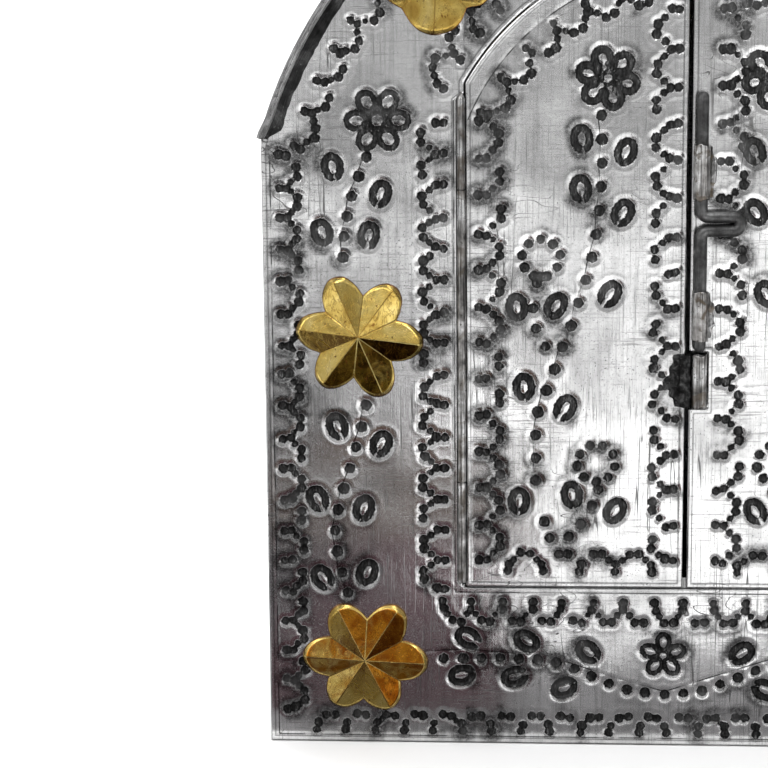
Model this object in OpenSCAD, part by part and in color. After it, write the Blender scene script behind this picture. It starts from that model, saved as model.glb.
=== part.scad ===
// Punched-tin tabernacle box: an arched case with a pair of doors, a slide bolt and brass flowers.
// The front faces -Y, +Z is up, and the origin is the middle of the underside. Millimetres.

/* [Case] */
// Width across the outer faces of the side walls
case_w = 210; // [204:1:214]
// Depth from the front panel's face to the back panel's face
case_d = 80; // [60:5:110]
// Height of the shoulders, where the side walls meet the roof
shoulder_z = 154; // [150:1:160]
// Radius of the roof's outer face
roof_r = 109; // [108.5:0.5:114]
// Thickness of the tin sheet
sheet_t = 0.6; // [0.5:0.05:0.7]
// How far the roof stands out in front of the front panel
lip_d = 4; // [3.5:0.25:6]
// Radius of the rolled bead along the roof's front edge
bead_r = 1.05; // [0.9:0.05:1.2]

/* [Doors] */
// Half of the door pair's width, from the middle to a hinged edge
door_half_w = 54.6; // [50:0.2:56]
// Height of the doors' lower edge
door_base_z = 41; // [36:0.5:46]
// Radius of the doors' arched top
door_arch_r = 63.1; // [61:0.1:66]
// Height of the centre of the doors' arch
door_arch_z = 135.5; // [132:0.5:139]
// Gap between the two doors' meeting edges
door_gap = 1.1; // [0.8:0.1:1.4]
// Gap round the doors' top and bottom edges
edge_gap = 0.4; // [0.3:0.05:0.6]

/* [Hinges] */
// Outer radius of the rolled hinge knuckles
knuckle_r = 1.0; // [0.9:0.05:1.1]
// Radius of the hinge pins
pin_r = 0.5; // [0.4:0.05:0.6]
// Width of a knuckle's soldered leaf
leaf_w = 7; // [4:0.5:9]
// Lower end of the lower frame knuckles
hinge_base_z = 42.3; // [42:0.1:46]
// Lower end of the door knuckles
door_knuckle_base_z = 68.2; // [64:0.2:74]
// Upper end of the door knuckles
door_knuckle_top_z = 141; // [134:0.5:146]
// Upper end of the upper frame knuckles
hinge_top_z = 163.4; // [160:0.1:164]

/* [Slide bolt] */
// Radius of the bolt's wire
rod_r = 1.5; // [1.3:0.05:1.6]
// Distance of the bolt's axis from the middle of the door pair
rod_x = 2.8; // [2.75:0.05:3.2]
// Outer radius of the bolt's two sleeves
sleeve_r = 2.1; // [2.05:0.05:2.2]
// Outer radius of the keeper tube
keeper_r = 1.95; // [1.9:0.05:2.1]
// Height of the raised bolt's rounded top
rod_top_z = 164.8; // [156:0.2:166]
// Height of the raised bolt's tip
rod_tip_z = 101.1; // [101.1:0.1:102]
// Height of the middle of the hairpin handle
handle_z = 132.7; // [130:0.1:133]
// Reach of the handle from the bolt's axis
handle_reach = 11; // [8:0.5:14]

/* [Brass flowers] */
// Radius of a flower at its petal tips
flower_r = 16; // [13:0.5:16]
// Radius of a flower at the notches between its petals
flower_notch_r = 10.4; // [8:0.2:11]
// Height of a flower's embossed centre above the panel
flower_h = 2.6; // [2:0.1:3.2]
// Thickness of the brass sheet
brass_t = 0.4; // [0.3:0.05:0.5]

/* [Hidden] */

// Case
half_w = case_w / 2;
front_y = -case_d / 2;
back_y = case_d / 2;
roof_z = shoulder_z - sqrt(roof_r * roof_r - half_w * half_w);
roof_inner_r = roof_r - sheet_t;
eave_flare = 0.6;
eave_angle = acos(min(1, (half_w + eave_flare) / roof_r));
bead_centre_r = roof_r - bead_r;
wire_r = 0.6;
fillet_w = 5;
fillet_h = lip_d - bead_r - 0.05;
seam_leg = 1.4;

// Doors and their opening
opening_half_w = door_half_w + 2.2;
opening_arch_r = door_arch_r + edge_gap;
opening_base_z = door_base_z - edge_gap;
stop_gap = 0.45;
stop_reach = 2.8;
stop_flange = 4;
stop_t = 0.75;

// Hinges
hinge_x = door_half_w + 1.1;
hinge_y = front_y - 0.7;
pin_play = 0.07;
knuckle_gap = 0.3;
link_half_w = 0.35;
leaf_t = 0.4;
pin_point_h = 1.6;

// Slide bolt
rod_y = front_y - sleeve_r;
rod_play = 0.08;
bend_r = rod_r + 0.2;
upper_sleeve_z = [138.1, 152.3];
lower_sleeve_z = [103.5, 116.5];
keeper_z = [86.9, 100.7];
keeper_patch_x = -5.9;
keeper_clear = 0.4;

// Brass flowers: centre, turn of the first petal, number of petals
rays_per_petal = 8;
middle_flower_at = [81.4, 104.8];
lower_flower_at = [80.5, 21.9];
upper_flower_at = [61.4, 193.6];
upper_flower_r = 15.2;
upper_notch_r = 12.2;
short_petal = 0.74;

// Lays an outline drawn in X and Z as a sheet that runs back from y by t.
module sheet(y, t) {
    translate([0, y + t, 0]) rotate([90, 0, 0]) linear_extrude(height = t) children();
}

// A round-headed outline: straight sides to the arc of radius r about the height centre_z.
module arched_outline(half_width, r, centre_z, base_z) {
    intersection() {
        translate([-half_width, base_z]) square([2 * half_width, centre_z + r - base_z + 1]);
        union() {
            translate([0, centre_z]) circle(r = r, $fn = 180);
            translate([-half_width, base_z]) square([2 * half_width, centre_z - base_z]);
        }
    }
}

// Sweeps a profile (radius, distance forward of the case's middle) round a level axis at height z.
module arch_sweep(z, from_angle, to_angle) {
    translate([0, 0, z]) rotate([90, 0, 0]) rotate([0, 0, from_angle])
        rotate_extrude(angle = to_angle - from_angle, $fn = 180) children();
}

module case_outline() {
    arched_outline(half_w, roof_inner_r, roof_z, 0);
}

module front_panel() {
    color("lightsteelblue")
    sheet(front_y, sheet_t) difference() {
        case_outline();
        arched_outline(opening_half_w, opening_arch_r, door_arch_z, opening_base_z);
    }
}

module back_panel() {
    color("lightsteelblue") sheet(back_y - sheet_t, sheet_t) case_outline();
}

module floor_panel() {
    color("silver")
    translate([-half_w + sheet_t, front_y + sheet_t, 0])
        cube([case_w - 2 * sheet_t, case_d - 2 * sheet_t, sheet_t]);
}

module right_side_wall() {
    color("silver") intersection() {
        sheet(front_y + sheet_t, case_d - 2 * sheet_t) case_outline();
        translate([half_w - sheet_t, front_y, 0]) cube([sheet_t, case_d, shoulder_z]);
    }
}

module left_side_wall() {
    mirror([1, 0, 0]) right_side_wall();
}

module roof() {
    color("gainsboro")
    arch_sweep(roof_z, eave_angle, 180 - eave_angle) difference() {
        translate([roof_inner_r, -case_d / 2]) square([sheet_t, case_d + lip_d]);
        translate([bead_centre_r, case_d / 2 + lip_d]) circle(r = bead_r, $fn = 48);
    }
}

// The roof's front edge, rolled over a wire.
module rim_bead() {
    color("whitesmoke")
    arch_sweep(roof_z, eave_angle, 180 - eave_angle)
        translate([bead_centre_r, case_d / 2 + lip_d]) difference() {
            circle(r = bead_r, $fn = 48);
            circle(r = wire_r, $fn = 48);
        }
}

module rim_wire() {
    color("dimgray")
    arch_sweep(roof_z, eave_angle, 180 - eave_angle)
        translate([bead_centre_r, case_d / 2 + lip_d]) circle(r = wire_r, $fn = 48);
}

// Concave fillet of solder in the corner between the front panel and the roof's lip.
module rim_solder() {
    steps = 6;
    curve = [for (i = [0 : steps]) let (t = i / steps)
        [roof_inner_r - fillet_w * (1 - t) * (1 - t), case_d / 2 + fillet_h * t * t]];
    color("dimgray")
    arch_sweep(roof_z, eave_angle, 180 - eave_angle)
        polygon(concat(curve, [[roof_inner_r, case_d / 2]]));
}

// Solder along the four upright corners inside the case.
module seam_solder() {
    corner_x = half_w - sheet_t;
    corner_y = case_d / 2 - sheet_t;
    top_z = roof_z + sqrt(roof_inner_r * roof_inner_r - half_w * half_w) - seam_leg;
    color("dimgray")
    for (side_x = [-1, 1], side_y = [-1, 1])
        translate([0, 0, sheet_t]) linear_extrude(height = top_z - sheet_t)
            polygon([
                [side_x * corner_x, side_y * corner_y],
                [side_x * (corner_x - seam_leg), side_y * corner_y],
                [side_x * corner_x, side_y * (corner_y - seam_leg)]
            ]);
}

// A joggled strip behind the sill: soldered to the front panel, it stops the doors at the closed place.
module sill_stop() {
    strip_half_w = opening_half_w - 7;
    back_face = front_y + sheet_t;
    color("silver") union() {
        translate([-strip_half_w, back_face, opening_base_z - stop_flange])
            cube([2 * strip_half_w, sheet_t, stop_flange]);
        translate([-strip_half_w, back_face + stop_gap, opening_base_z - stop_flange / 2])
            cube([2 * strip_half_w, stop_t, stop_flange / 2 + stop_reach]);
    }
}

// The same joggled strip behind the head of the opening.
module head_stop() {
    strip_angle = 52;
    forward = case_d / 2 - sheet_t;
    color("silver")
    arch_sweep(door_arch_z, strip_angle, 180 - strip_angle) union() {
        translate([opening_arch_r, forward - sheet_t]) square([stop_flange, sheet_t]);
        translate([opening_arch_r - stop_reach, forward - stop_gap - stop_t])
            square([stop_flange / 2 + stop_reach, stop_t]);
    }
}

// A rolled knuckle on the right-hand hinge. leaf_side is 1 for a leaf on the frame, -1 on the door.
module knuckle(z_from, z_to, bore_r, leaf_side) {
    sheet_back = front_y + sheet_t - hinge_y;
    color("silver")
    translate([hinge_x, hinge_y, z_from]) difference() {
        union() {
            cylinder(r = knuckle_r, h = z_to - z_from, $fn = 48);
            translate([-link_half_w, 0, 0]) cube([2 * link_half_w, sheet_back + leaf_t, z_to - z_from]);
            translate([leaf_side > 0 ? -link_half_w : -leaf_w, sheet_back, 0])
                cube([leaf_w + link_half_w, leaf_t, z_to - z_from]);
        }
        translate([0, 0, -1]) cylinder(r = bore_r, h = z_to - z_from + 2, $fn = 48);
    }
}

module right_lower_frame_knuckle() {
    knuckle(hinge_base_z, door_knuckle_base_z - knuckle_gap, pin_r, 1);
}

module right_upper_frame_knuckle() {
    knuckle(door_knuckle_top_z + knuckle_gap, hinge_top_z, pin_r, 1);
}

module right_door_knuckle() {
    knuckle(door_knuckle_base_z, door_knuckle_top_z, pin_r + pin_play, -1);
}

module left_lower_frame_knuckle() {
    mirror([1, 0, 0]) right_lower_frame_knuckle();
}

module left_upper_frame_knuckle() {
    mirror([1, 0, 0]) right_upper_frame_knuckle();
}

module left_door_knuckle() {
    mirror([1, 0, 0]) right_door_knuckle();
}

module right_hinge_pin() {
    color("dimgray")
    translate([hinge_x, hinge_y, hinge_base_z]) union() {
        cylinder(r = pin_r, h = hinge_top_z - hinge_base_z, $fn = 48);
        translate([0, 0, hinge_top_z - hinge_base_z])
            cylinder(r1 = knuckle_r, r2 = 0.2, h = pin_point_h, $fn = 48);
    }
}

module left_hinge_pin() {
    mirror([1, 0, 0]) right_hinge_pin();
}

// The right half of the arched pair of doors.
module door_outline() {
    intersection() {
        arched_outline(door_half_w, door_arch_r, door_arch_z, door_base_z);
        translate([door_gap / 2, 0]) square([door_half_w, door_arch_z + door_arch_r + 1]);
    }
}

module left_door() {
    color("aliceblue") sheet(front_y, sheet_t) mirror([1, 0]) door_outline();
}

// The notch lets this door open past the keeper tube, which reaches over its edge.
module right_door() {
    notch_w = rod_x + keeper_r + keeper_clear;
    color("aliceblue")
    sheet(front_y, sheet_t) difference() {
        door_outline();
        translate([0, keeper_z[0] - keeper_clear])
            square([notch_w, keeper_z[1] - keeper_z[0] + 2 * keeper_clear]);
    }
}

// A rolled tube round the bolt's axis.
module bolt_tube(z_range, r) {
    translate([rod_x, rod_y, z_range[0]]) difference() {
        cylinder(r = r, h = z_range[1] - z_range[0], $fn = 48);
        translate([0, 0, -1]) cylinder(r = rod_r + rod_play, h = z_range[1] - z_range[0] + 2, $fn = 48);
    }
}

module upper_bolt_sleeve() {
    color("lightgray") bolt_tube(upper_sleeve_z, sleeve_r);
}

module lower_bolt_sleeve() {
    color("lightgray") bolt_tube(lower_sleeve_z, sleeve_r);
}

module bolt_keeper() {
    color("gray") bolt_tube(keeper_z, keeper_r);
}

// Solder beside a sleeve: a ramp from the door's face up to the tube's flank.
module sleeve_ramp(z_range) {
    inner_x = 0.4;
    foot_x = sleeve_r + 1.7;
    waist = [sleeve_r + 0.3, -0.5];
    top = [sleeve_r - 0.1, -1.6];
    end_gap = 0.6;
    difference() {
        translate([rod_x, front_y, z_range[0] + end_gap])
            linear_extrude(height = z_range[1] - z_range[0] - 2 * end_gap)
                polygon([[inner_x, 0], [foot_x, 0], waist, top]);
        translate([rod_x, rod_y, z_range[0] - 1])
            cylinder(r = sleeve_r, h = z_range[1] - z_range[0] + 2, $fn = 48);
    }
}

module sleeve_solder() {
    color("dimgray") {
        sleeve_ramp(upper_sleeve_z);
        sleeve_ramp(lower_sleeve_z);
    }
}

// Heavy patch of solder that carries the keeper from the left door across the gap.
module keeper_solder() {
    end_gap = 0.4;
    patch_z = keeper_z[0] + end_gap;
    patch_h = keeper_z[1] - keeper_z[0] - 2 * end_gap;
    patch_w = -keeper_patch_x - door_gap / 2;
    patch_t = 1.1;
    bridge_from_x = -2.2;
    bridge_to_x = rod_x - 0.9;
    bridge_t = 2.3;
    bridge_lift = 0.15;
    color("dimgray") difference() {
        union() {
            translate([keeper_patch_x, front_y - patch_t, patch_z]) cube([patch_w, patch_t, patch_h]);
            translate([bridge_from_x, front_y - bridge_lift - bridge_t, patch_z])
                cube([bridge_to_x - bridge_from_x, bridge_t, patch_h]);
        }
        translate([rod_x, rod_y, keeper_z[0] - 1])
            cylinder(r = keeper_r, h = keeper_z[1] - keeper_z[0] + 2, $fn = 48);
    }
}

// Length l of the bolt's wire from a point, along its own +Z after turning by angles.
module wire_run(at, angles, l) {
    translate(at) rotate(angles) cylinder(r = rod_r, h = l, $fn = 48);
}

// A bend of the bolt's wire about centre, in the plane of the doors.
module wire_bend(centre, from_angle, sweep) {
    translate(centre) rotate([90, 0, 0]) rotate([0, 0, from_angle])
        rotate_extrude(angle = sweep, $fn = 96) translate([bend_r, 0]) circle(r = rod_r, $fn = 48);
}

// One wire: the raised rod, its hairpin handle laid out to the side, and the rod down to the tip.
module sliding_bolt() {
    upper_z = handle_z + bend_r;
    lower_z = handle_z - bend_r;
    turn_x = handle_reach - bend_r - rod_r;
    color("darkslategray") translate([rod_x, rod_y, 0]) union() {
        wire_run([0, 0, upper_z + bend_r], [0, 0, 0], rod_top_z - rod_r - upper_z - bend_r);
        translate([0, 0, rod_top_z - rod_r]) sphere(r = rod_r, $fn = 48);
        wire_bend([bend_r, 0, upper_z + bend_r], 180, 90);
        wire_run([bend_r, 0, upper_z], [0, 90, 0], turn_x - bend_r);
        wire_bend([turn_x, 0, handle_z], -90, 180);
        wire_run([bend_r, 0, lower_z], [0, 90, 0], turn_x - bend_r);
        wire_bend([bend_r, 0, lower_z - bend_r], 90, 90);
        wire_run([0, 0, rod_tip_z + rod_r], [0, 0, 0], lower_z - bend_r - rod_tip_z - rod_r);
        translate([0, 0, rod_tip_z + rod_r]) sphere(r = rod_r, $fn = 48);
    }
}

// Radius of a petalled outline at an angle of a petals' turn from its tip, from 0 to 1 at the notch.
function lobe(t) = pow(max(0, cos(90 * t)), 0.6);

// Height of the embossed star: flat facets from a ridge at each tip to a valley at each notch.
function star_height(share, base, top) = base + (top - base) * (1 - share);

// An embossed sheet flower that lies on y = 0 and faces -Y. shorten trims the petal numbered short.
module flower(petals, tip_r, notch_r, turn, short = -1) {
    rays = petals * rays_per_petal;
    rings = [0, 0.5, 1];
    function from_tip(i) = abs(((i + rays_per_petal / 2) % rays_per_petal) - rays_per_petal / 2)
        / (rays_per_petal / 2);
    function petal(i) = floor((i + rays_per_petal / 2) / rays_per_petal) % petals;
    function petal_r(i) = tip_r * (petal(i) == short ? short_petal : 1);
    function reach(i) = notch_r + (petal_r(i) - notch_r) * lobe(from_tip(i));
    function place(i, share, h) = [
        reach(i) * share * cos(turn + 360 * i / rays), -h, reach(i) * share * sin(turn + 360 * i / rays)];
    upper = [for (s = [1 : len(rings) - 1], i = [0 : rays - 1])
        place(i, rings[s], star_height(rings[s], brass_t, flower_h))];
    lower = [for (s = [1 : len(rings) - 1], i = [0 : rays - 1])
        place(i, rings[s], star_height(rings[s], 0, flower_h - brass_t))];
    count = rays * (len(rings) - 1);
    centre_up = 2 * count;
    centre_down = 2 * count + 1;
    function next(i) = (i + 1) % rays;
    points = concat(upper, lower, [[0, -flower_h, 0], [0, brass_t - flower_h, 0]]);
    faces = concat(
        [for (i = [0 : rays - 1]) [centre_up, i, next(i)]],
        [for (i = [0 : rays - 1]) [i, rays + i, next(i)]],
        [for (i = [0 : rays - 1]) [next(i), rays + i, rays + next(i)]],
        [for (i = [0 : rays - 1]) [centre_down, count + next(i), count + i]],
        [for (i = [0 : rays - 1]) [count + i, count + next(i), count + rays + i]],
        [for (i = [0 : rays - 1]) [count + next(i), count + rays + next(i), count + rays + i]],
        [for (i = [0 : rays - 1]) [rays + i, count + rays + i, rays + next(i)]],
        [for (i = [0 : rays - 1]) [rays + next(i), count + rays + i, count + rays + next(i)]]
    );
    color("goldenrod") translate([0, front_y, 0]) polyhedron(points = points, faces = faces);
}

module upper_left_flower() {
    translate([-upper_flower_at[0], 0, upper_flower_at[1]])
        flower(5, upper_flower_r, upper_notch_r, -89, 3);
}

module middle_left_flower() {
    translate([-middle_flower_at[0], 0, middle_flower_at[1]]) flower(6, flower_r, flower_notch_r, -7);
}

module lower_left_flower() {
    translate([-lower_flower_at[0], 0, lower_flower_at[1]]) flower(6, flower_r, flower_notch_r, -3);
}

module upper_right_flower() {
    mirror([1, 0, 0]) upper_left_flower();
}

module middle_right_flower() {
    mirror([1, 0, 0]) middle_left_flower();
}

module lower_right_flower() {
    mirror([1, 0, 0]) lower_left_flower();
}

front_panel();
back_panel();
floor_panel();
left_side_wall();
right_side_wall();
roof();
rim_bead();
rim_wire();
rim_solder();
seam_solder();
sill_stop();
head_stop();
left_hinge_pin();
right_hinge_pin();
left_upper_frame_knuckle();
left_lower_frame_knuckle();
right_upper_frame_knuckle();
right_lower_frame_knuckle();
left_door();
left_door_knuckle();
bolt_keeper();
keeper_solder();
right_door();
right_door_knuckle();
upper_bolt_sleeve();
lower_bolt_sleeve();
sleeve_solder();
sliding_bolt();
upper_left_flower();
middle_left_flower();
lower_left_flower();
upper_right_flower();
middle_right_flower();
lower_right_flower();
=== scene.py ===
"""Punched-tin tabernacle box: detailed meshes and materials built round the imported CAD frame.

Everything is in metres in the frame of the CAD model: front -Y, up +Z, origin under the middle.
"""
import math
import random

import bmesh
import bpy
import numpy as np
from mathutils import Matrix, Vector


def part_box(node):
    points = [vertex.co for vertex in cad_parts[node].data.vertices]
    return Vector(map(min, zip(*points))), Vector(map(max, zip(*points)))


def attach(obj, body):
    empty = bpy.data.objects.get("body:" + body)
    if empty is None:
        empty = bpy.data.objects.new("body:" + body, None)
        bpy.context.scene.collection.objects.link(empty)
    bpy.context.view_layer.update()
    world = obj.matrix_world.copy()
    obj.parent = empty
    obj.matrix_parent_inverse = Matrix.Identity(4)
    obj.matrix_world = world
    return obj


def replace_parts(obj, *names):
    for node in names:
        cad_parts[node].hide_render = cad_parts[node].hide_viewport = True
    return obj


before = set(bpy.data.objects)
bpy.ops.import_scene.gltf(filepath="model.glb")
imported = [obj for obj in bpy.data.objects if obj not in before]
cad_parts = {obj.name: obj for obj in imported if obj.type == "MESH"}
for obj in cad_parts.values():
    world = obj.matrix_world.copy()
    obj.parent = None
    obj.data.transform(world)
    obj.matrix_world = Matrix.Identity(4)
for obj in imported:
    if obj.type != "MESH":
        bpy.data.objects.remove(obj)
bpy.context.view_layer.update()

MM = 0.001

# ---------------------------------------------------------------- places taken from the frame
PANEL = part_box("front_panel")
FRONT_Y = PANEL[0][1]
SHEET_T = PANEL[1][1] - PANEL[0][1]
HALF_W = PANEL[1][0]
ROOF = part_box("roof")
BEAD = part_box("rim_bead")
RIGHT_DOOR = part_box("right_door")
DOOR_EDGE_X = RIGHT_DOOR[1][0]
DOOR_GAP_X = RIGHT_DOOR[0][0]
DOOR_BASE_Z = RIGHT_DOOR[0][2]
DOOR_TOP_Z = RIGHT_DOOR[1][2]

# Shapes of the two arches, which the frame's boxes don't give
SHEET_ROOF_R = 0.1084
ROOF_Z = PANEL[1][2] - SHEET_ROOF_R
DOOR_ARCH_R = 0.0631
DOOR_ARCH_Z = DOOR_TOP_Z - DOOR_ARCH_R
OPENING_GAP = 0.0004
OPENING_HALF_W = DOOR_EDGE_X + 0.0022
HINGE_TOP_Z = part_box("left_upper_frame_knuckle")[1][2]
HINGE_LOW_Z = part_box("left_lower_frame_knuckle")[0][2]

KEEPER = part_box("bolt_keeper")
NOTCH_CLEAR = 0.0002

# The roof's arc and its bead
ROOF_R = 0.109
EAVE = math.acos(ROOF[1][0] / ROOF_R)
BEAD_R = 0.00105
BEAD_Y = BEAD[0][1] + BEAD_R
BEAD_CENTRE_R = ROOF_R - BEAD_R
WIRE_R = (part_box("rim_wire")[1][1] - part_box("rim_wire")[0][1]) / 2
WIRE_INSET = 0.009
FILLET_W = 0.0048
FILLET_H = 0.0029
FILLET_TAPER = 0.0035
FILLET_FACE = 0.7
FILLET_ROUGH = 0.00012
BEAD_END_THIN = 0.22
BEAD_END_W = 0.0006
SWEEP_RING = 20
QUAD_TURNED = [0, 3, 2, 1]
FLARE_RISE = 0.0024
RIM_END = FLARE_RISE / ROOF[1][0]
FLARE = 0.00072
FLARE_TO = 0.055
END_HOLLOW = 2

# The flowers' sheet, in metres
BRASS_T = 0.0004
BRASS_BODY = BRASS_T * 0.8
FLOWER_TOP = 0.00255
FLOWER_FALL = 0.020
FLOWER_SLOPE = 0.36
FLOWER_UNEVEN = 0.12
FLOWER_LOBE = 1.1
FLOWER_ROLL_FROM = 0.93
FLOWER_NICK = 0.00016
FLOWER_INSET = 0.0002
FLOWER_RAYS = 288
FLOWER_RINGS = 44

CELL = 0.00042
SEED = 11
BEHIND = 0.75
PLAIN_EDGE = 9.0


# ---------------------------------------------------------------- mesh helpers
def new_object(name, mesh):
    obj = bpy.data.objects.new(name, mesh)
    bpy.context.scene.collection.objects.link(obj)
    return obj


def mesh_from_arrays(name, verts, quads, tris=()):
    """A mesh from an (n, 3) array of points and arrays of quads and triangles."""
    mesh = bpy.data.meshes.new(name)
    quads = np.asarray(quads, dtype=np.int32).reshape(-1, 4)
    tris = np.asarray(tris, dtype=np.int32).reshape(-1, 3)
    mesh.vertices.add(len(verts))
    mesh.vertices.foreach_set("co", np.asarray(verts, dtype=np.float32).ravel())
    mesh.loops.add(quads.size + tris.size)
    mesh.loops.foreach_set("vertex_index", np.concatenate([quads.ravel(), tris.ravel()]))
    mesh.polygons.add(len(quads) + len(tris))
    starts = np.concatenate([np.arange(len(quads)) * 4, quads.size + np.arange(len(tris)) * 3])
    mesh.polygons.foreach_set("loop_start", starts.astype(np.int32))
    mesh.polygons.foreach_set("use_smooth", np.ones(len(quads) + len(tris), dtype=bool))
    mesh.update(calc_edges=True)
    mesh.validate()
    return mesh


def add_float(mesh, name, values):
    layer = mesh.attributes.new(name, "FLOAT", "POINT")
    layer.data.foreach_set("value", np.asarray(values, dtype=np.float32))


def smoothstep(t):
    t = np.clip(t, 0.0, 1.0)
    return t * t * (3 - 2 * t)


# Three large primes that scatter the cells of the noise over its table
HASH = (73856093, 19349663, 83492791)
NOISE_TABLE = 4096


def value_noise(points, scale, seed):
    """Smooth repeatable noise from -1 to 1 at (n, 3) points, with cells of size scale."""
    rng = np.random.default_rng(seed)
    table = rng.uniform(-1, 1, NOISE_TABLE)
    p = np.asarray(points) / scale
    base = np.floor(p).astype(np.int64)
    f = smoothstep(p - base)
    total = np.zeros(len(p))
    for dx in (0, 1):
        for dy in (0, 1):
            for dz in (0, 1):
                h = ((base[:, 0] + dx) * HASH[0] ^ (base[:, 1] + dy) * HASH[1]
                     ^ (base[:, 2] + dz) * HASH[2])
                w = ((f[:, 0] if dx else 1 - f[:, 0]) * (f[:, 1] if dy else 1 - f[:, 1])
                     * (f[:, 2] if dz else 1 - f[:, 2]))
                total += w * table[h & (NOISE_TABLE - 1)]
    return total


def grid_noise(seed, *axes):
    """Noise over one to three grids of coordinates of one shape, in that shape."""
    flat = [axis.ravel() for axis in axes]
    flat += [np.zeros(axes[0].size)] * (3 - len(axes))
    return value_noise(np.stack(flat, axis=1), 1.0, seed).reshape(axes[0].shape)


def cell_quads(index):
    """The quads between the neighbouring entries of a 2D array of vertex numbers."""
    corners = (index[:-1, :-1], index[:-1, 1:], index[1:, 1:], index[1:, :-1])
    return np.stack(corners, axis=-1).reshape(-1, 4)


def around(index):
    """Joins the last column of a 2D array of vertex numbers to its first."""
    return np.concatenate([index, index[:, :1]], axis=1)


# ---------------------------------------------------------------- punched relief
# The marks are laid out in millimetres on the front plane: x to the right, z up.
MARK_REACH = 3.0
SCRIBE_REACH = 2.0
DOT_STRAY = 0.12
STEM_DOT_R = 1.42
BORDER_DOT_R = 1.12
LEAF_STAMP = (7.3, 5.7, 2.0)


class Relief:
    """The punch marks of one sheet on a regular grid, as signed distances in millimetres."""

    def __init__(self, x_from, x_to, z_from, z_to, seed):
        cell = CELL / MM
        nx = int(round((x_to - x_from) / cell)) + 1
        nz = int(round((z_to - z_from) / cell)) + 1
        self.x = np.linspace(x_from, x_to, nx)
        self.z = np.linspace(z_from, z_to, nz)
        self.mark = np.full((nz, nx), -MARK_REACH)
        self.scribe = np.full((nz, nx), SCRIBE_REACH)
        self.rng = random.Random(seed)

    def window(self, cx, cz, reach):
        i = np.searchsorted(self.x, [cx - reach, cx + reach])
        k = np.searchsorted(self.z, [cz - reach, cz + reach])
        return slice(k[0], k[1]), slice(i[0], i[1])

    def press(self, cx, cz, turn, reach, inside):
        """Presses one stamp: inside(u, v) gives how far a point is inside it, u along its axis."""
        win = self.window(cx, cz, reach + MARK_REACH)
        if win[0].start == win[0].stop or win[1].start == win[1].stop:
            return
        dx = self.x[win[1]][None, :] - cx
        dz = self.z[win[0]][:, None] - cz
        c, s = math.cos(turn), math.sin(turn)
        self.mark[win] = np.maximum(self.mark[win], inside(c * dx + s * dz, -s * dx + c * dz))

    def dot(self, cx, cz, r, turn=0.0, stretch=1.0):
        r *= self.rng.uniform(0.92, 1.08)
        cx += self.rng.uniform(-DOT_STRAY, DOT_STRAY)
        cz += self.rng.uniform(-DOT_STRAY, DOT_STRAY)

        def inside(u, v):
            return r - np.hypot(u / stretch, v)

        self.press(cx, cz, turn, r * stretch, inside)

    def horseshoe(self, cx, cz, direction_deg, length, width, stroke, gap_deg=24.0):
        """A U-shaped stamp whose closed end points in the given direction."""
        a = length / 2 - stroke / 2
        b = width / 2 - stroke / 2
        gap = math.radians(gap_deg)

        def inside(u, v):
            rho = np.hypot(u / a, v / b)
            phi = np.arctan2(v / b, u / a)
            band = stroke / 2 - np.abs(rho - 1) * (a * b) / np.hypot(b * np.cos(phi), a * np.sin(phi))
            open_end = (np.abs(np.abs(phi) - math.pi) - gap) * b
            return np.minimum(band, open_end)

        turn = math.radians(direction_deg + self.rng.uniform(-4, 4))
        self.press(cx, cz, turn, length / 2, inside)

    def leaf(self, cx, cz, direction_deg):
        self.horseshoe(cx, cz, direction_deg, *LEAF_STAMP, gap_deg=self.rng.choice((0, 7, 13)))

    def rosette(self, cx, cz, loops, ring_r, loop_l, loop_w, stroke, turn_deg, eye=2.8):
        """Horseshoe loops round a centre, each with its open side inwards."""
        for i in range(loops):
            t = math.radians(turn_deg + 360 * i / loops)
            self.horseshoe(cx + ring_r * math.cos(t), cz + ring_r * math.sin(t), math.degrees(t),
                           loop_l, loop_w, stroke, gap_deg=self.rng.choice((0, 0, 14)))
        self.horseshoe(cx, cz, turn_deg, eye + 2, eye + 2, 1.0, gap_deg=0)

    def dot_ring(self, cx, cz, ring_r, count, r, turn_deg):
        for i in range(count):
            t = math.radians(turn_deg + 360 * i / count)
            self.dot(cx + ring_r * math.cos(t), cz + ring_r * math.sin(t), r)

    def guide(self, signed, near):
        """Keeps the nearest scribed line: signed is its signed distance, near where it is drawn."""
        d = np.where(near, signed, SCRIBE_REACH)
        self.scribe = np.where(np.abs(d) < np.abs(self.scribe), d, self.scribe)

    def grid(self):
        return np.meshgrid(self.x, self.z)

    def scratch_line(self, points):
        """A fine scribed line through the points."""
        gx, gz = self.grid()
        for (x0, z0), (x1, z1) in zip(points, points[1:]):
            dx, dz = x1 - x0, z1 - z0
            length = math.hypot(dx, dz)
            along = ((gx - x0) * dx + (gz - z0) * dz) / length
            across = ((gx - x0) * dz - (gz - z0) * dx) / length
            self.guide(across, (along > 0) & (along < length) & (np.abs(across) < SCRIBE_REACH))


def curve_points(points, count):
    """count points at even steps along a smooth curve through the given ones."""
    p = np.array(points, dtype=float)
    p = np.vstack([2 * p[0] - p[1], p, 2 * p[-1] - p[-2]])
    fine = []
    for i in range(1, len(p) - 2):
        for t in np.linspace(0, 1, 24, endpoint=False):
            fine.append(0.5 * (2 * p[i] + (p[i + 1] - p[i - 1]) * t
                               + (2 * p[i - 1] - 5 * p[i] + 4 * p[i + 1] - p[i + 2]) * t * t
                               + (3 * p[i] - p[i - 1] - 3 * p[i + 1] + p[i + 2]) * t ** 3))
    fine.append(p[-2])
    fine = np.array(fine)
    run = np.concatenate([[0], np.cumsum(np.hypot(*np.diff(fine, axis=0).T))])
    steps = np.linspace(0, run[-1], count)
    return [(float(np.interp(s, run, fine[:, 0])), float(np.interp(s, run, fine[:, 1]))) for s in steps]


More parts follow.
